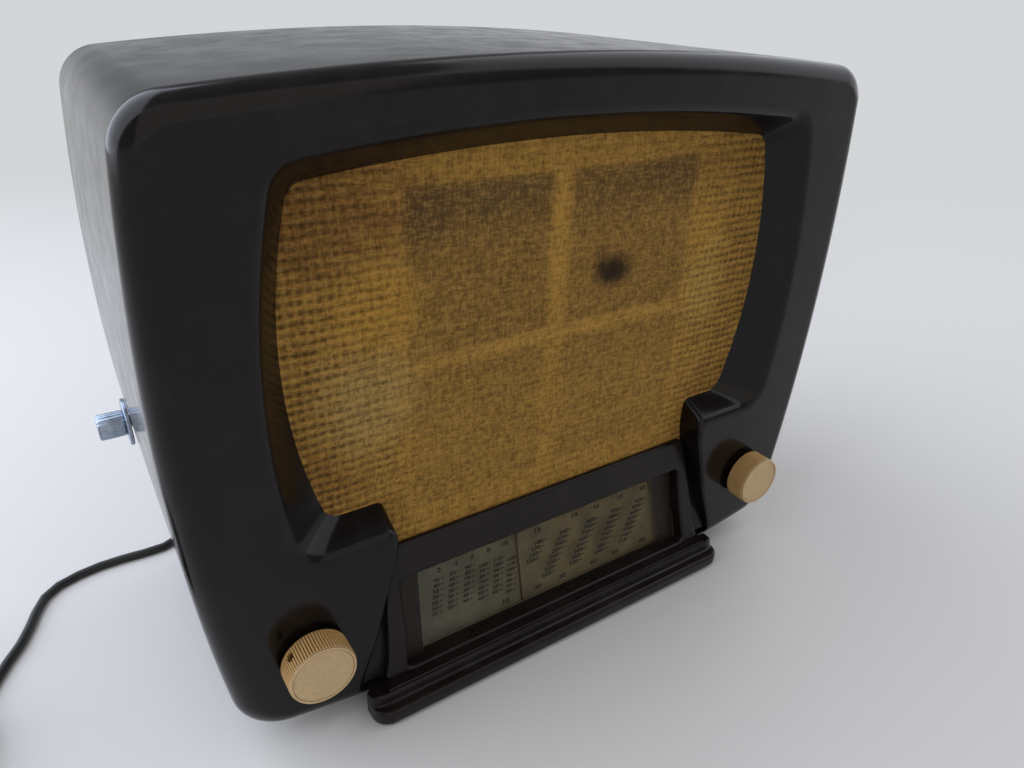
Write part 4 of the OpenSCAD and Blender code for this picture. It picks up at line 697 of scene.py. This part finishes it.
def finishMoulding(piece, node, made, angle=32):
    pickOnly(piece)
    bpy.ops.object.shade_smooth_by_angle(angle=math.radians(angle))
    even = piece.modifiers.new("even", "WEIGHTED_NORMAL")
    even.keep_sharp = True
    even.weight = 100
    bpy.ops.object.modifier_apply(modifier=even.name)
    piece.select_set(False)
    piece.data.materials.clear()
    piece.data.materials.append(made)
    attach(piece, "set")
    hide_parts(node)
    print(piece.name, len(piece.data.polygons), "faces")


cabinet = {
    "halfWidth": 186.8, "height": 302.6, "foot": 0.4, "widest": 170, "front": 15.5, "back": 185,
    "sideBow": 950, "topBow": 1640, "topCorner": 20, "lowCorner": 28, "edge": 10, "wall": 4,
    "taper": 3.3, "cloth": 32, "backEdge": 1.2, "backLip": 0.6,
    # The cloth opening at the front face and at the cloth: half width, level of the bow's
    # middle, side bow, top, foot, corner
    "mouth": (148.5, 170, 420, 280.5, 104, 14), "window": (136, 190, 240, 268.5, 112, 9),
    "windowTopBow": 984,
    # Depths of the rings along the outside, and of those from the mouth to the window as shares
    "sideRings": (65, 105, 145), "openingRings": (0.42, 0.6, 0.8, 1.0),
    "bay": [(119.5, 15), (117, 25), (110, 44), (103.4, 68), (96.8, 92), (96.5, 116)],
    # Radii of the soft edges round the opening, along the bay and at its shoulders
    "mouthRound": 9, "bayRound": 2.6, "shoulderRound": 4.5,
    # Radius of the spindles' holes, and the side control's hole: depth, level and radius
    "spindleHole": 4.97, "sideHole": (168, 110, 4.7),
    # Slots in the floor: middles, front ends, width and length
    "vents": ([-60, -36, -12, 12, 36, 60], [70, 122], 5, 34),
    # Chassis posts on pads: middles, radii of both, levels of the pad, the post and its top
    "posts": (120, [76, 156], 7, 12, 6.8, 9.4, 22), "padHigh": 3.2,
    # Lugs that take the rear cover's screws: middles, and where, how thick and how long they are
    "lugs": [(171.7, 48), (173.6, 245), (86, 293.3)], "lug": (165.5, 5, 16),
    # Solid blocks behind the front face: how far below it, and their margins round the opening
    # at the front, at the cloth and round the bay
    "blocks": (2, 4, 14, 4),
}


def shellOutline(inset):
    # The cabinet's outline, moved in by an inset
    c = cabinet
    sideC = (c["halfWidth"] - c["sideBow"], c["widest"])
    topC = (0, c["height"] - c["topBow"])
    footC = (0, c["foot"] + c["sideBow"])
    sideR, topR, topCorner, lowCorner = [c[k] - inset for k in ("sideBow", "topBow", "topCorner",
                                                                "lowCorner")]
    upC = meeting(sideC, sideR - topCorner, topC, topR - topCorner)
    lowC = meeting(footC, sideR - lowCorner, sideC, sideR - lowCorner)
    line = arcChain([(footC, sideR, 26), (lowC, lowCorner, 12), (sideC, sideR, 30),
                     (upC, topCorner, 12), (topC, topR, 26)],
                    [-math.pi / 2, heading(footC, lowC), heading(sideC, lowC),
                     heading(sideC, upC), heading(topC, upC), math.pi / 2])
    return mirrored(line[:-1] + [(0, topC[1] + topR)])


def openingShape(t, grow):
    # Between the mouth at the front face, 0, and the window at the cloth, 1, with a margin
    mouth, window = cabinet["mouth"], cabinet["window"]
    half, mid, _, top, low, corner = [p + (q - p) * t for p, q in zip(mouth, window)]
    bow = 1 / (1 / mouth[2] + (1 / window[2] - 1 / mouth[2]) * t)
    return half + grow, mid, bow + grow, top + grow, low - grow, corner + grow


def openingUpper(t, grow):
    # Right half of the opening from its lower corner to its crown
    half, mid, bow, top, low, corner = openingShape(t, grow)
    topR = cabinet["windowTopBow"] + grow
    sideC, topC = (half - bow, mid), (0, top - topR)
    upC = meeting(sideC, bow - corner, topC, topR - corner)
    lowC = (sideC[0] + math.sqrt((bow - corner) ** 2 - (low + corner - mid) ** 2), low + corner)
    line = arcChain([(lowC, corner, 10), (sideC, bow, 28), (upC, corner, 10), (topC, topR, 24)],
                    [-math.pi / 2, heading(sideC, lowC), heading(sideC, upC), heading(topC, upC),
                     math.pi / 2])
    return line[:-1] + [(0, top)]


def bayAcross(z):
    # Half width of the dial bay at a level
    side = smoothThrough(cabinet["bay"], 6)
    for (x0, z0), (x1, z1) in zip(side, side[1:]):
        if z <= z1:
            return x0 + (x1 - x0) * (z - z0) / (z1 - z0)
    return side[-1][0]


def openingOutline(t, grow, bayGrow):
    # The cloth opening and the bay below it as one outline
    low = openingShape(t, grow)[4]
    r = cabinet["shoulderRound"]
    footX, footZ = cabinet["bay"][0]
    foot = [((footX + bayGrow) * k / 14, footZ) for k in range(14)]
    levels = [footZ + (low - r - footZ) * k / 26 for k in range(26)]
    side = [(bayAcross(z) + bayGrow, z) for z in levels]
    x = bayAcross(low) + bayGrow
    shoulder = arcOf((x + r, low - r), r, math.pi, math.pi / 2, 7)
    upper = openingUpper(t, grow)
    last, first = shoulder[-1], upper[0]
    shelf = [(last[0] + (first[0] - last[0]) * k / 6, last[1] + (first[1] - last[1]) * k / 6)
             for k in range(1, 6)]
    return mirrored(foot + side + shoulder + shelf + upper)


def blockOutline(t, grow):
    # The cloth opening alone, with a straight foot
    low = openingShape(t, grow)[4]
    upper = openingUpper(t, grow)
    return mirrored([(upper[0][0] * k / 12, low) for k in range(12)] + upper)


def atDepth(outline, y):
    return [place(x, y, z) for x, z in outline]


def shellRings():
    # Round the front edge, back along the outside, round the rear edge and forward inside
    c = cabinet
    front, edge, wall, back = c["front"], c["edge"], c["wall"], c["back"]
    thin, lip = c["backEdge"], c["backLip"]

    def tapered(inset, y):
        share = 1 - c["taper"] / c["halfWidth"] * (y - front - edge) / (back - front - edge)
        return atDepth([(x * share, z) for x, z in shellOutline(inset)], y)

    rings = [atDepth(shellOutline(edge * left), front + edge * come) for left, come in quarter(8)]
    rings += [tapered(0, y) for y in (*c["sideRings"], back - thin)]
    rings += [tapered(thin * come, back - thin * left) for left, come in quarter(3)[1:]]
    rings += [tapered(wall - lip, back), tapered(wall, back - lip)]
    inner = edge - wall
    return rings + [atDepth(shellOutline(wall + inner * left), front + wall + inner * come)
                    for left, come in reversed(quarter(5))]


def openingRings():
    # The cutter's mouth flares, so that the edge it leaves is round
    c = cabinet
    front, deep, r, bayR = c["front"], c["cloth"] - c["front"], c["mouthRound"], c["bayRound"]
    slope = (c["mouth"][0] - c["window"][0]) / deep
    turn = math.atan(1 / slope)
    reach = r * math.tan(turn / 2)
    rings = [atDepth(openingOutline(0, reach, bayR), front - 2)]
    for k in range(9):
        a = turn * k / 8
        y = r * (1 - math.cos(a))
        flare = bayR - math.sqrt(bayR ** 2 - (bayR - y) ** 2) if y < bayR else 0
        outline = openingOutline(y / deep, reach - r * math.sin(a) + slope * y, flare)
        rings.append(atDepth(outline, front + y))
    rings += [atDepth(openingOutline(t, 0, 0), front + t * deep) for t in c["openingRings"]]
    return rings + [atDepth(openingOutline(1.0, 0, 0), c["cloth"] + 4)]


def makeCabinet():
    c = cabinet
    front, clothY = c["front"], c["cloth"]
    shell = ringed("cabinetMoulding", shellRings())
    below, near, far, aside = c["blocks"]
    cut(shell, ringed("openingBlock", [atDepth(blockOutline(0, near), front + below),
                                       atDepth(blockOutline(1, far), clothY)]), "UNION")
    side = smoothThrough(c["bay"], 6)
    bay = [(x + aside, z) for x, z in side] + [(-x - aside, z) for x, z in reversed(side)]
    cut(shell, ringed("bayBlock", [atDepth(bay, front + below), atDepth(bay, clothY)]), "UNION")
    postX, postY, postR, padR, padZ, postZ, topZ = c["posts"]
    lugY, lugR, lugLong = c["lug"]
    bosses = []
    for x in (-postX, postX):
        for y in postY:
            bosses.append(rod((x, y, postZ), postR, topZ - postZ, "Z"))
            bosses.append(rod((x, y, padZ), padR, c["padHigh"], "Z"))
    for x, z in c["lugs"]:
        bosses += [rod((s * x, lugY, z), lugR, lugLong, "Y") for s in (-1, 1)]
    cut(shell, joined(bosses), "UNION")
    cut(shell, ringed("openingCutter", openingRings()), "DIFFERENCE")
    # The cutters reach past the walls on both sides
    holes = [rod((s * knob["x"], front - 1, knob["z"]), c["spindleHole"], 8, "Y")
             for s in (-1, 1)]
    sideY, sideZ, sideR = c["sideHole"]
    holes.append(rod((-c["halfWidth"] - 2, sideY, sideZ), sideR, 14, "X"))
    ventX, ventY, ventWide, ventLong = c["vents"]
    for x in ventX:
        for y in ventY:
            bpy.ops.mesh.primitive_cube_add(size=0.001, location=place(x, y + ventLong / 2, 3),
                                            scale=(ventWide, ventLong, 8))
            holes.append(bpy.context.object)
    cut(shell, joined(holes), "DIFFERENCE")
    finishMoulding(shell, "cabinet", phenolic)


makeCabinet()


def insetLoop(loop, inset):
    # Each point of a smooth loop moved inwards, square to its neighbours
    after = loop[1:] + loop[:1]
    spin = sum(p[0] * q[1] - q[0] * p[1] for p, q in zip(loop, after))
    inset = inset if spin > 0 else -inset
    out = []
    for k, (x, z) in enumerate(loop):
        dx, dz = after[k][0] - loop[k - 1][0], after[k][1] - loop[k - 1][1]
        length = math.hypot(dx, dz) or 1
        out.append((x - inset * dz / length, z + inset * dx / length))
    return out


def roundedLoop(points, radii, steps):
    # A closed polygon with each corner rounded by its own radius
    loop = []
    for k, (p, r) in enumerate(zip(points, radii)):
        if r == 0:
            loop.append(p)
            continue
        a, b = points[k - 1], points[(k + 1) % len(points)]
        la, lb = math.dist(a, p), math.dist(b, p)
        ua = ((a[0] - p[0]) / la, (a[1] - p[1]) / la)
        ub = ((b[0] - p[0]) / lb, (b[1] - p[1]) / lb)
        half = math.acos(max(-1, min(1, ua[0] * ub[0] + ua[1] * ub[1]))) / 2
        reach = min(r / math.tan(half), la * 0.45, lb * 0.45)
        fit = reach * math.tan(half)
        mid = (ua[0] + ub[0], ua[1] + ub[1])
        far = fit / math.sin(half) / (math.hypot(*mid) or 1)
        c = (p[0] + mid[0] * far, p[1] + mid[1] * far)
        first = heading(c, (p[0] + ua[0] * reach, p[1] + ua[1] * reach))
        last = heading(c, (p[0] + ub[0] * reach, p[1] + ub[1] * reach))
        turn = (last - first + math.pi) % (2 * math.pi) - math.pi
        loop += arcOf(c, fit, first, first + turn, steps)
    return loop


bezel = {
    "tilt": 13.2, "footY": 12.7, "footZ": 16.5, "deep": 7.4, "lip": 2.8, "flangeFrom": 5.4,
    # Half outline of the raised frame along the slope, the radius at each point and the soft edge
    "frame": [(108.5, 0), (104.7, 12), (102.3, 40), (99.2, 60), (98.7, 71)],
    "frameRounds": [2.6, 45, 90, 90, 5], "softEdge": 1.7, "bodyTop": 55.9,
    "opening": [(95.3, 2.3), (93.5, 24), (93.1, 51.9)], "openingRounds": [3, 0, 3],
    "openingEdge": 2.2,
    "flange": [(118.8, 1.9), (116.3, 12.1), (109.3, 31.7), (102.7, 55.9)],
    # Section of the sill: depth and level
    "sill": [(8, 15.1), (8, 16.2), (8.35, 16.75), (9.0, 16.85), (9.5, 16.4), (19.6, 17.5),
             (19.6, 15.1)],
    "sillHalf": 109, "sillRound": 0.5,
    # Keeps faces of two parts from lying in one plane
    "overlap": 0.02,
}


def onDial(x, v, w):
    # A place on the sloping dial: across, up the slope and deep behind the bezel's face
    a = math.radians(bezel["tilt"])
    return place(x, bezel["footY"] + v * math.sin(a) + w * math.cos(a),
                 bezel["footZ"] + v * math.cos(a) - w * math.sin(a))


def dialSkin(name, steps):
    # Steps of a loop of x and slope height with its depth below the bezel's face
    return ringed(name, [[onDial(x, v, w) for x, v in loop] for loop, w in steps])


def makeBezel():
    b = bezel
    deep, soft, over = b["deep"], b["softEdge"], b["overlap"]
    frameLoop = roundedLoop(mirrored(b["frame"]), b["frameRounds"] + b["frameRounds"][::-1], 6)
    steps = [(frameLoop, deep)]
    steps += [(insetLoop(frameLoop, soft * come) if come else frameLoop, soft * left)
              for left, come in quarter(5)]
    piece = dialSkin("bezelMoulding", steps)
    # The cutters reach well past the piece
    wide, capFoot, capTop = 2 * b["frame"][0][0], b["bodyTop"], 90
    cap = [(-wide, capFoot), (wide, capFoot), (wide, capTop), (-wide, capTop)]
    cut(piece, dialSkin("bezelBack", [(cap, b["lip"]), (cap, 20)]), "DIFFERENCE")
    flange = mirrored(smoothThrough(b["flange"], 4))
    steps = [(flange, b["flangeFrom"]), (flange, deep - over)]
    cut(piece, dialSkin("bezelFlange", steps), "UNION")
    hole = roundedLoop(mirrored(b["opening"]), b["openingRounds"] + b["openingRounds"][::-1], 6)
    soft = b["openingEdge"]
    steps = [(insetLoop(hole, -soft), -2.0)]
    steps += [(insetLoop(hole, -soft * left), soft * come - over) for left, come in quarter(6)]
    steps += [(hole, 5), (hole, 12)]
    cut(piece, dialSkin("bezelOpening", steps), "DIFFERENCE")
    loop = roundedLoop(b["sill"], [b["sillRound"]] * len(b["sill"]), 3)
    ends = (-b["sillHalf"], b["sillHalf"])
    sill = ringed("bezelSill", [[place(x, y, z) for y, z in loop] for x in ends])
    behind = [(-wide, -8), (wide, -8), (wide, 9), (-wide, 9)]
    cut(sill, dialSkin("sillBack", [(behind, deep), (behind, 30)]), "DIFFERENCE")
    joined([piece, sill])
    finishMoulding(piece, "dial_bezel", dullPhenolic)


makeBezel()

plinth = {
    "length": 236, "endRound": 8.5, "foot": 0.6, "high": 14.4, "endDrop": 2.4,
    # Section: depth and level, with the nose, the groove and the ridge behind it
    "section": [(15.4, 0.6), (15.4, 15.0), (8.0, 15.0), (6.9, 13.9), (6.35, 10.6), (5.2, 10.0),
                (0, 9.5), (0, 0.6)],
    "rounds": [0.3, 0.5, 0.9, 0.9, 0.5, 0.6, 2.2, 3.1],
}


def makePlinth():
    p = plinth
    section, steps = p["section"], 5
    loop = []
    for k, corner in enumerate(section):
        near = [section[k - 1], corner, section[(k + 1) % len(section)]]
        loop += roundedLoop(near, [p["rounds"][k]] * 3, steps)[steps + 1:2 * steps + 2]
    # The ends are round in plan towards the cabinet's face, and eased a little from above
    half, r, face = p["length"] / 2, p["endRound"], cabinet["front"]
    rings = [(-half + r * come, r * left, p["endDrop"] * left ** 2) for left, come in quarter(7)]
    rings += [(-x, back, drop) for x, back, drop in reversed(rings)]
    skin = [[place(x, back + y * (1 - back / face),
                   p["foot"] + (z - p["foot"]) * (1 - drop / p["high"])) for y, z in loop]
            for x, back, drop in rings]
    finishMoulding(ringed("plinthMoulding", skin), "plinth_bar", dullPhenolic, 40)


makePlinth()


def turnedPiece(name, profile, middle, axis, steps, material, body):
    # The profile is drawn point by point and spun about its axis
    bpy.ops.object.select_all(action="DESELECT")
    bpy.ops.mesh.primitive_plane_add(size=0.002, location=(0, 0, 0))
    piece = bpy.context.object
    piece.name = piece.data.name = name
    along, out = Vector(axis), Vector((0, 0, 1))
    points = [middle + out * (r / 1000) + along * (a / 1000) for r, a in profile]
    bpy.ops.object.mode_set(mode="EDIT")
    bpy.ops.mesh.merge(type="CENTER")
    bpy.ops.transform.translate(value=points[0])
    for before, after in zip(points, points[1:]):
        bpy.ops.mesh.extrude_vertices_move(TRANSFORM_OT_translate={"value": after - before})
    bpy.ops.mesh.select_all(action="SELECT")
    bpy.ops.mesh.spin(steps=steps, angle=2 * math.pi, center=middle, axis=along)
    bpy.ops.object.mode_set(mode="OBJECT")
    cleanMesh(piece)
    bpy.ops.object.shade_smooth_by_angle(angle=math.radians(28))
    piece.data.materials.append(material)
    piece.select_set(False)
    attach(piece, body)
    return piece


def makeKnob(name, node, body, x, grubAngle):
    middle = place(x, 0, knob["z"])
    shape = knob["fluteShape"]
    around = knob["flutes"] * len(shape)
    piece = turnedPiece(name, knob["profile"], middle, (0, 1, 0), around, urea, body)
    # The points of the wall are drawn in by turns, which leaves the flutes
    pickOnly(piece)
    for level, turns in ((1, (1, 3)), (2, (2,))):
        for v in piece.data.vertices:
            away = v.co - middle
            turn = round(math.atan2(away.x, away.z) / (2 * math.pi / around)) % len(shape)
            onWall = math.hypot(away.x, away.z) > (knob["radius"] - 0.05) / 1000
            v.select = onWall and turn in turns
        bpy.ops.object.mode_set(mode="EDIT")
        shrink = 1 - shape[level] * knob["fluteDepth"] / knob["radius"]
        bpy.ops.transform.resize(value=(shrink, 1, shrink), center_override=middle)
        bpy.ops.mesh.select_all(action="DESELECT")
        bpy.ops.object.mode_set(mode="OBJECT")
    a = math.radians(grubAngle)
    at = place(x + knob["grubAway"] * math.cos(a), knob["grubY"],
               knob["z"] + knob["grubAway"] * math.sin(a))
    bpy.ops.object.select_all(action="DESELECT")
    bpy.ops.mesh.primitive_cylinder_add(vertices=24, radius=knob["grubR"] / 1000,
                                        depth=knob["grubLong"] / 1000, location=at,
                                        rotation=(0, math.pi / 2 - a, 0))
    cut(piece, bpy.context.object, "DIFFERENCE")
    pickOnly(piece)
    bpy.ops.object.shade_smooth_by_angle(angle=math.radians(30))
    piece.select_set(False)
    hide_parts(node)


makeKnob("tuningKnobMoulding", "tuning_knob", "tuning", knob["x"], 60)
makeKnob("volumeKnobMoulding", "volume_knob", "volume", -knob["x"], 138)

washer = {
    "profile": [(4.3, 13.5), (9.4, 13.35), (10.05, 13.8), (10.1, 14.9), (9.6, 15.45),
                (4.3, 15.45), (4.18, 14.5), (4.3, 13.5)],
    # Pressed wool is a little uneven round its edge: height in mm, waves and start
    "waves": [(0.04, 7, 0), (0.03, 17, 1)],
}


def makeWashers():
    for side, x in (("Left", -knob["x"]), ("Right", knob["x"])):
        middle = place(x, 0, knob["z"])
        piece = turnedPiece("feltWashers" + side, washer["profile"], middle, (0, 1, 0), 64,
                            finish["pressedFelt"], "set")
        for v in piece.data.vertices:
            a = math.atan2(v.co.x - middle.x, v.co.z - middle.z)
            v.co.y += sum(high / 1000 * math.sin(n * a + start)
                          for high, n, start in washer["waves"])
        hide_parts("felt_washers")


makeWashers()

sideControl = {
    "tip": -198.5,
    # Radius and distance from the tip: milled barrel, neck and thin skirt
    "profile": [(0, 0.2), (5.2, 0.15), (6.3, 0.3), (6.8, 0.8), (7.0, 1.4), (7.0, 7.0),
                (7.0, 12.4), (6.7, 12.9), (6.3, 13.2), (8.5, 13.35), (12.6, 13.6),
                (12.95, 13.9), (12.95, 15.2), (12.6, 15.55), (3.2, 15.6), (3.2, 3.2), (0, 3.2)],
    # Facets round the barrel: their number, and how far each of their six steps is drawn in
    "facets": 16, "facetSteps": [0.35, 0.12, 0, 0, 0, 0.12], "barrel": (6.5, 7.1, 13),
}


def makeSideKnob():
    c = sideControl
    middle = place(c["tip"], *cabinet["sideHole"][:2])
    around = c["facets"] * len(c["facetSteps"])
    piece = turnedPiece("sideKnobTurned", c["profile"], middle, (1, 0, 0), around,
                        finish["turnedAlloy"], "side_control")
    thin, thick, long = [size / 1000 for size in c["barrel"]]
    for v in piece.data.vertices:
        away = v.co - middle
        r = math.hypot(away.y, away.z)
        if thin < r < thick and away.x < long:
            turn = round(math.atan2(away.y, away.z) / (2 * math.pi / around))
            pull = c["facetSteps"][turn % len(c["facetSteps"])] / 1000
            v.co.y -= away.y / r * pull
            v.co.z -= away.z / r * pull
    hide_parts("side_knob")


makeSideKnob()
print("knobs made")

scalePrint = {
    "depth": 9.5, "high": 0.04, "rowStep": 3.15,
    # Figures: how much bolder and wider they are, and the font's size for one millimetre of them
    "bold": 0.15, "wide": 1.35, "fontShare": 1.4,
    # Dark ends of the scale: inner and outer half width, foot and top along the slope, and how
    # far they lean in at their top
    "ends": (83.2, 97.5, -1, 54), "endsIn": 3.6,
    # Columns of plain numbers: centre at the slope height leanFrom, lowest and highest row,
    # first number, step between rows, size of the figures
    "columns": [(-73, 19.5, 39, 15, 5, 2.0), (-63.6, 19.5, 39, 20, 5, 2.0),
                (-54.2, 19.5, 39, 30, 10, 2.0), (-44.8, 17, 39, 40, 10, 2.0),
                (-35.4, 17, 39, 50, 10, 2.0), (-26.5, 14, 36, 60, 10, 2.0),
                (-14, 26.5, 39, 150, 10, 2.2), (4, 14, 39, 200, 20, 2.3),
                (23.5, 14, 39, 520, 40, 2.3), (42.5, 14, 39, 640, 40, 2.3),
                (61, 14, 39, 710, 30, 2.3)],
    # Those left of this lean less and stand closer: lean, and how far off their short lines are
    "narrowTo": -20, "leanFrom": 24, "narrow": (0.198, 3.5), "broad": (0.66, 4.6),
    "lineStart": 1.6, "lineHigh": 0.6,
    # Rows along the top and the foot: level, numbers by place, size
    "rows": [(8.6, {-31: 10, -9: 20, 8: 30, 31: 40, 48: 50, 70: 60}, 2.7),
             (43.4, {-68: 2, -58: 4, -48: 6, -38: 8, -28: 10, -6: 12, 20: 14, 36: 16, 54: 18,
                     72: 20}, 2.5)],
    # Ticks under them: from, to and step, top, and length and width of each kind
    "ticks": (-80, 84, 2), "tickTop": 5.2, "tickLong": (1.9, 0.3), "tickShort": (1.1, 0.18),
    "base": (2, 162, 0.12),
}


def layFigure(body, x, v, height):
    bpy.ops.object.text_add(location=(0, 0, 0))
    label = bpy.context.object
    label.data.body = body
    label.data.size = height / 1000 * scalePrint["fontShare"]
    label.data.offset = scalePrint["bold"] / 1000
    label.data.extrude = scalePrint["high"] / 2000
    label.data.align_x = "CENTER"
    label.data.align_y = "CENTER"
    label.data.resolution_u = 2
    bpy.ops.object.convert(target="MESH")
    label.location = onDial(x, v, scalePrint["depth"])
    label.rotation_euler = (math.radians(90 - bezel["tilt"]), 0, 0)
    label.scale = (scalePrint["wide"], 1, 1)
    return label


def layTick(x, low, high, width):
    bpy.ops.mesh.primitive_cube_add(size=0.001,
                                    location=onDial(x, (low + high) / 2, scalePrint["depth"]),
                                    rotation=(math.radians(90 - bezel["tilt"]), 0, 0),
                                    scale=(width, high - low, scalePrint["high"]))
    return bpy.context.object


def makeScalePrint():
    p = scalePrint
    bpy.ops.object.select_all(action="DESELECT")
    marks = []
    for middle, low, high, first, step, height in p["columns"]:
        lean, reach = p["narrow"] if middle < p["narrowTo"] else p["broad"]
        for k in range(int((high - low) / p["rowStep"]) + 1):
            v = low + k * p["rowStep"]
            x = middle + (v - p["leanFrom"]) * lean
            marks.append(layFigure(str(first + k * step), x, v, height))
            marks.append(layTick(x + reach, v - p["lineHigh"] / 2, v + p["lineHigh"] / 2,
                                 reach - p["lineStart"]))
    for v, row, height in p["rows"]:
        marks += [layFigure(str(number), x, v, height) for x, number in row.items()]
    top = p["tickTop"]
    for x in range(*p["ticks"]):
        long, width = p["tickShort"] if x % 10 else p["tickLong"]
        marks.append(layTick(x, top - long, top, width))
    middle, width, half = p["base"]
    marks.append(layTick(middle, top - half, top + half, width))
    near, far, foot, top = p["ends"]
    for side in (-1, 1):
        strip = layTick(side * (near + far) / 2, foot, top, far - near)
        for point in strip.data.vertices:
            if point.co.x * side < 0 and point.co.y > 0:
                point.co.x -= side * p["endsIn"] / 1000
        marks.append(strip)
    piece = joined(marks)
    piece.name = piece.data.name = "scalePrint"
    piece.data.materials.clear()
    piece.data.materials.append(finish["scaleInk"])
    piece.select_set(False)
    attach(piece, "set")
    print("scale print:", len(piece.data.polygons), "faces")


makeScalePrint()


def makeCloth():
    bpy.ops.object.select_all(action="DESELECT")
    high = cloth["top"] - cloth["tongueFoot"]
    centre = place(0, cloth["front"] + cloth["thick"], cloth["tongueFoot"] + high / 2)
    bpy.ops.mesh.primitive_grid_add(x_subdivisions=72, y_subdivisions=50, size=0.001,
                                    location=(0, 0, 0))
    piece = bpy.context.object
    piece.name = "speakerCloth"
    bpy.ops.object.mode_set(mode="EDIT")
    bpy.ops.transform.resize(value=(2 * cloth["halfWidth"], high, 1), center_override=(0, 0, 0))
    bpy.ops.transform.rotate(value=-math.pi / 2, orient_axis="X", center_override=(0, 0, 0))
    bpy.ops.transform.translate(value=centre)
    bpy.ops.mesh.select_all(action="DESELECT")
    bpy.ops.object.mode_set(mode="OBJECT")
    # Below the shoulders only the tongue behind the dial is left
    for face in piece.data.polygons:
        aside = abs(face.center.x - setShift[0] / 1000) > cloth["tongueHalf"] / 1000
        face.select = face.center.z < cloth["foot"] / 1000 and aside
    bpy.ops.object.mode_set(mode="EDIT")
    bpy.ops.mesh.delete(type="FACE")
    bpy.ops.object.mode_set(mode="OBJECT")
    thick = piece.modifiers.new("thick", "SOLIDIFY")
    thick.thickness = cloth["thick"] / 1000
    thick.offset = 1
    bpy.ops.object.modifier_apply(modifier=thick.name)
    piece.data.materials.append(weave)
    piece.select_set(False)
    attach(piece, "set")
    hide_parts("speaker_cloth")


makeCloth()

stage = {"floorHex": "#cfcdca", "farHex": "#d3d5d7", "highHex": "#8b8e92", "size": 16,
         "fade": (0.45, 1.5), "wallFade": (0.0, 0.2)}


def makeStage():
    bpy.ops.object.select_all(action="DESELECT")
    bpy.ops.mesh.primitive_plane_add(size=stage["size"], location=(0, 0, 0))
    floor = bpy.context.object
    floor.name = "paleFloor"
    # Wall paint, rolled on a board: pale and matt, so that it takes the set's soft shadow
    made, tree, spot = startMaterial("paleFloorPaint")
    paint = addNode(tree, "BsdfPrincipled", {"Base Color": colour(stage["floorHex"]),
                                             "Roughness": 0.6})
    # Far away the paint passes into the backdrop's colour, for the eye and in reflections
    far = addNode(tree, "VectorMath", [spot], operation="LENGTH")
    fade = addNode(tree, "MapRange", (far, *stage["fade"]), interpolation_type="SMOOTHSTEP")
    part = addNode(tree, "Math", (fade, seenRays(tree)), operation="MULTIPLY")
    glow = addNode(tree, "Emission", (colour(stage["farHex"]), 1.0))
    addNode(tree, "OutputMaterial", [addNode(tree, "MixShader", (part, paint, glow))])
    floor.data.materials.append(made)


makeStage()

lamps = {
    "window": {"at": (-1000, 700, 950), "aim": (-100, 100, 60), "size": 2.1, "power": 38,
               "hex": "#e9f0ff"},
    "front": {"at": (-250, -1300, 1200), "aim": (0, 60, 120), "size": 2.0, "power": 7,
              "hex": "#fff7ec"},
    "right": {"at": (1300, 100, 1000), "aim": (100, 100, 60), "size": 2.0, "power": 14,
              "hex": "#f6f8ff"},
}
room = {"hex": "#dfe4ec", "strength": 0.42}


def makeLamps():
    for name, lamp in lamps.items():
        light = bpy.data.lights.new(name + "Softbox", "AREA")
        light.shape = "SQUARE"
        light.size = lamp["size"]
        light.energy = lamp["power"]
        light.color = colour(lamp["hex"])[:3]
        body = bpy.data.objects.new(name + "Softbox", light)
        bpy.context.scene.collection.objects.link(body)
        body.location = place(*lamp["at"])
        aim = place(*lamp["aim"]) - body.location
        body.rotation_euler = aim.to_track_quat("-Z", "Y").to_euler()


def makeRoom():
    world = bpy.context.scene.world or bpy.data.worlds.new("studio")
    bpy.context.scene.world = world
    world.use_nodes = True
    tree = world.node_tree
    tree.nodes.clear()
    light = addNode(tree, "Background", (colour(room["hex"]), room["strength"]))
    # The backdrop is pale at the floor and falls into shade above the set
    up = addNode(tree, "SeparateXYZ", [addNode(tree, "TexCoord").outputs["Generated"]])
    rise = addNode(tree, "MapRange", (up.outputs["Z"], *stage["wallFade"]),
                   interpolation_type="SMOOTHSTEP")
    wall = addNode(tree, "Mix", (rise, colour(stage["farHex"]), colour(stage["highHex"])),
                   data_type="RGBA")
    drop = addNode(tree, "Background", (wall, 1.0))
    addNode(tree, "OutputWorld", [addNode(tree, "MixShader", (seenRays(tree), light, drop))])
    bpy.context.scene.view_settings.view_transform = "Standard"


makeLamps()
makeRoom()
print("stage and lamps set")
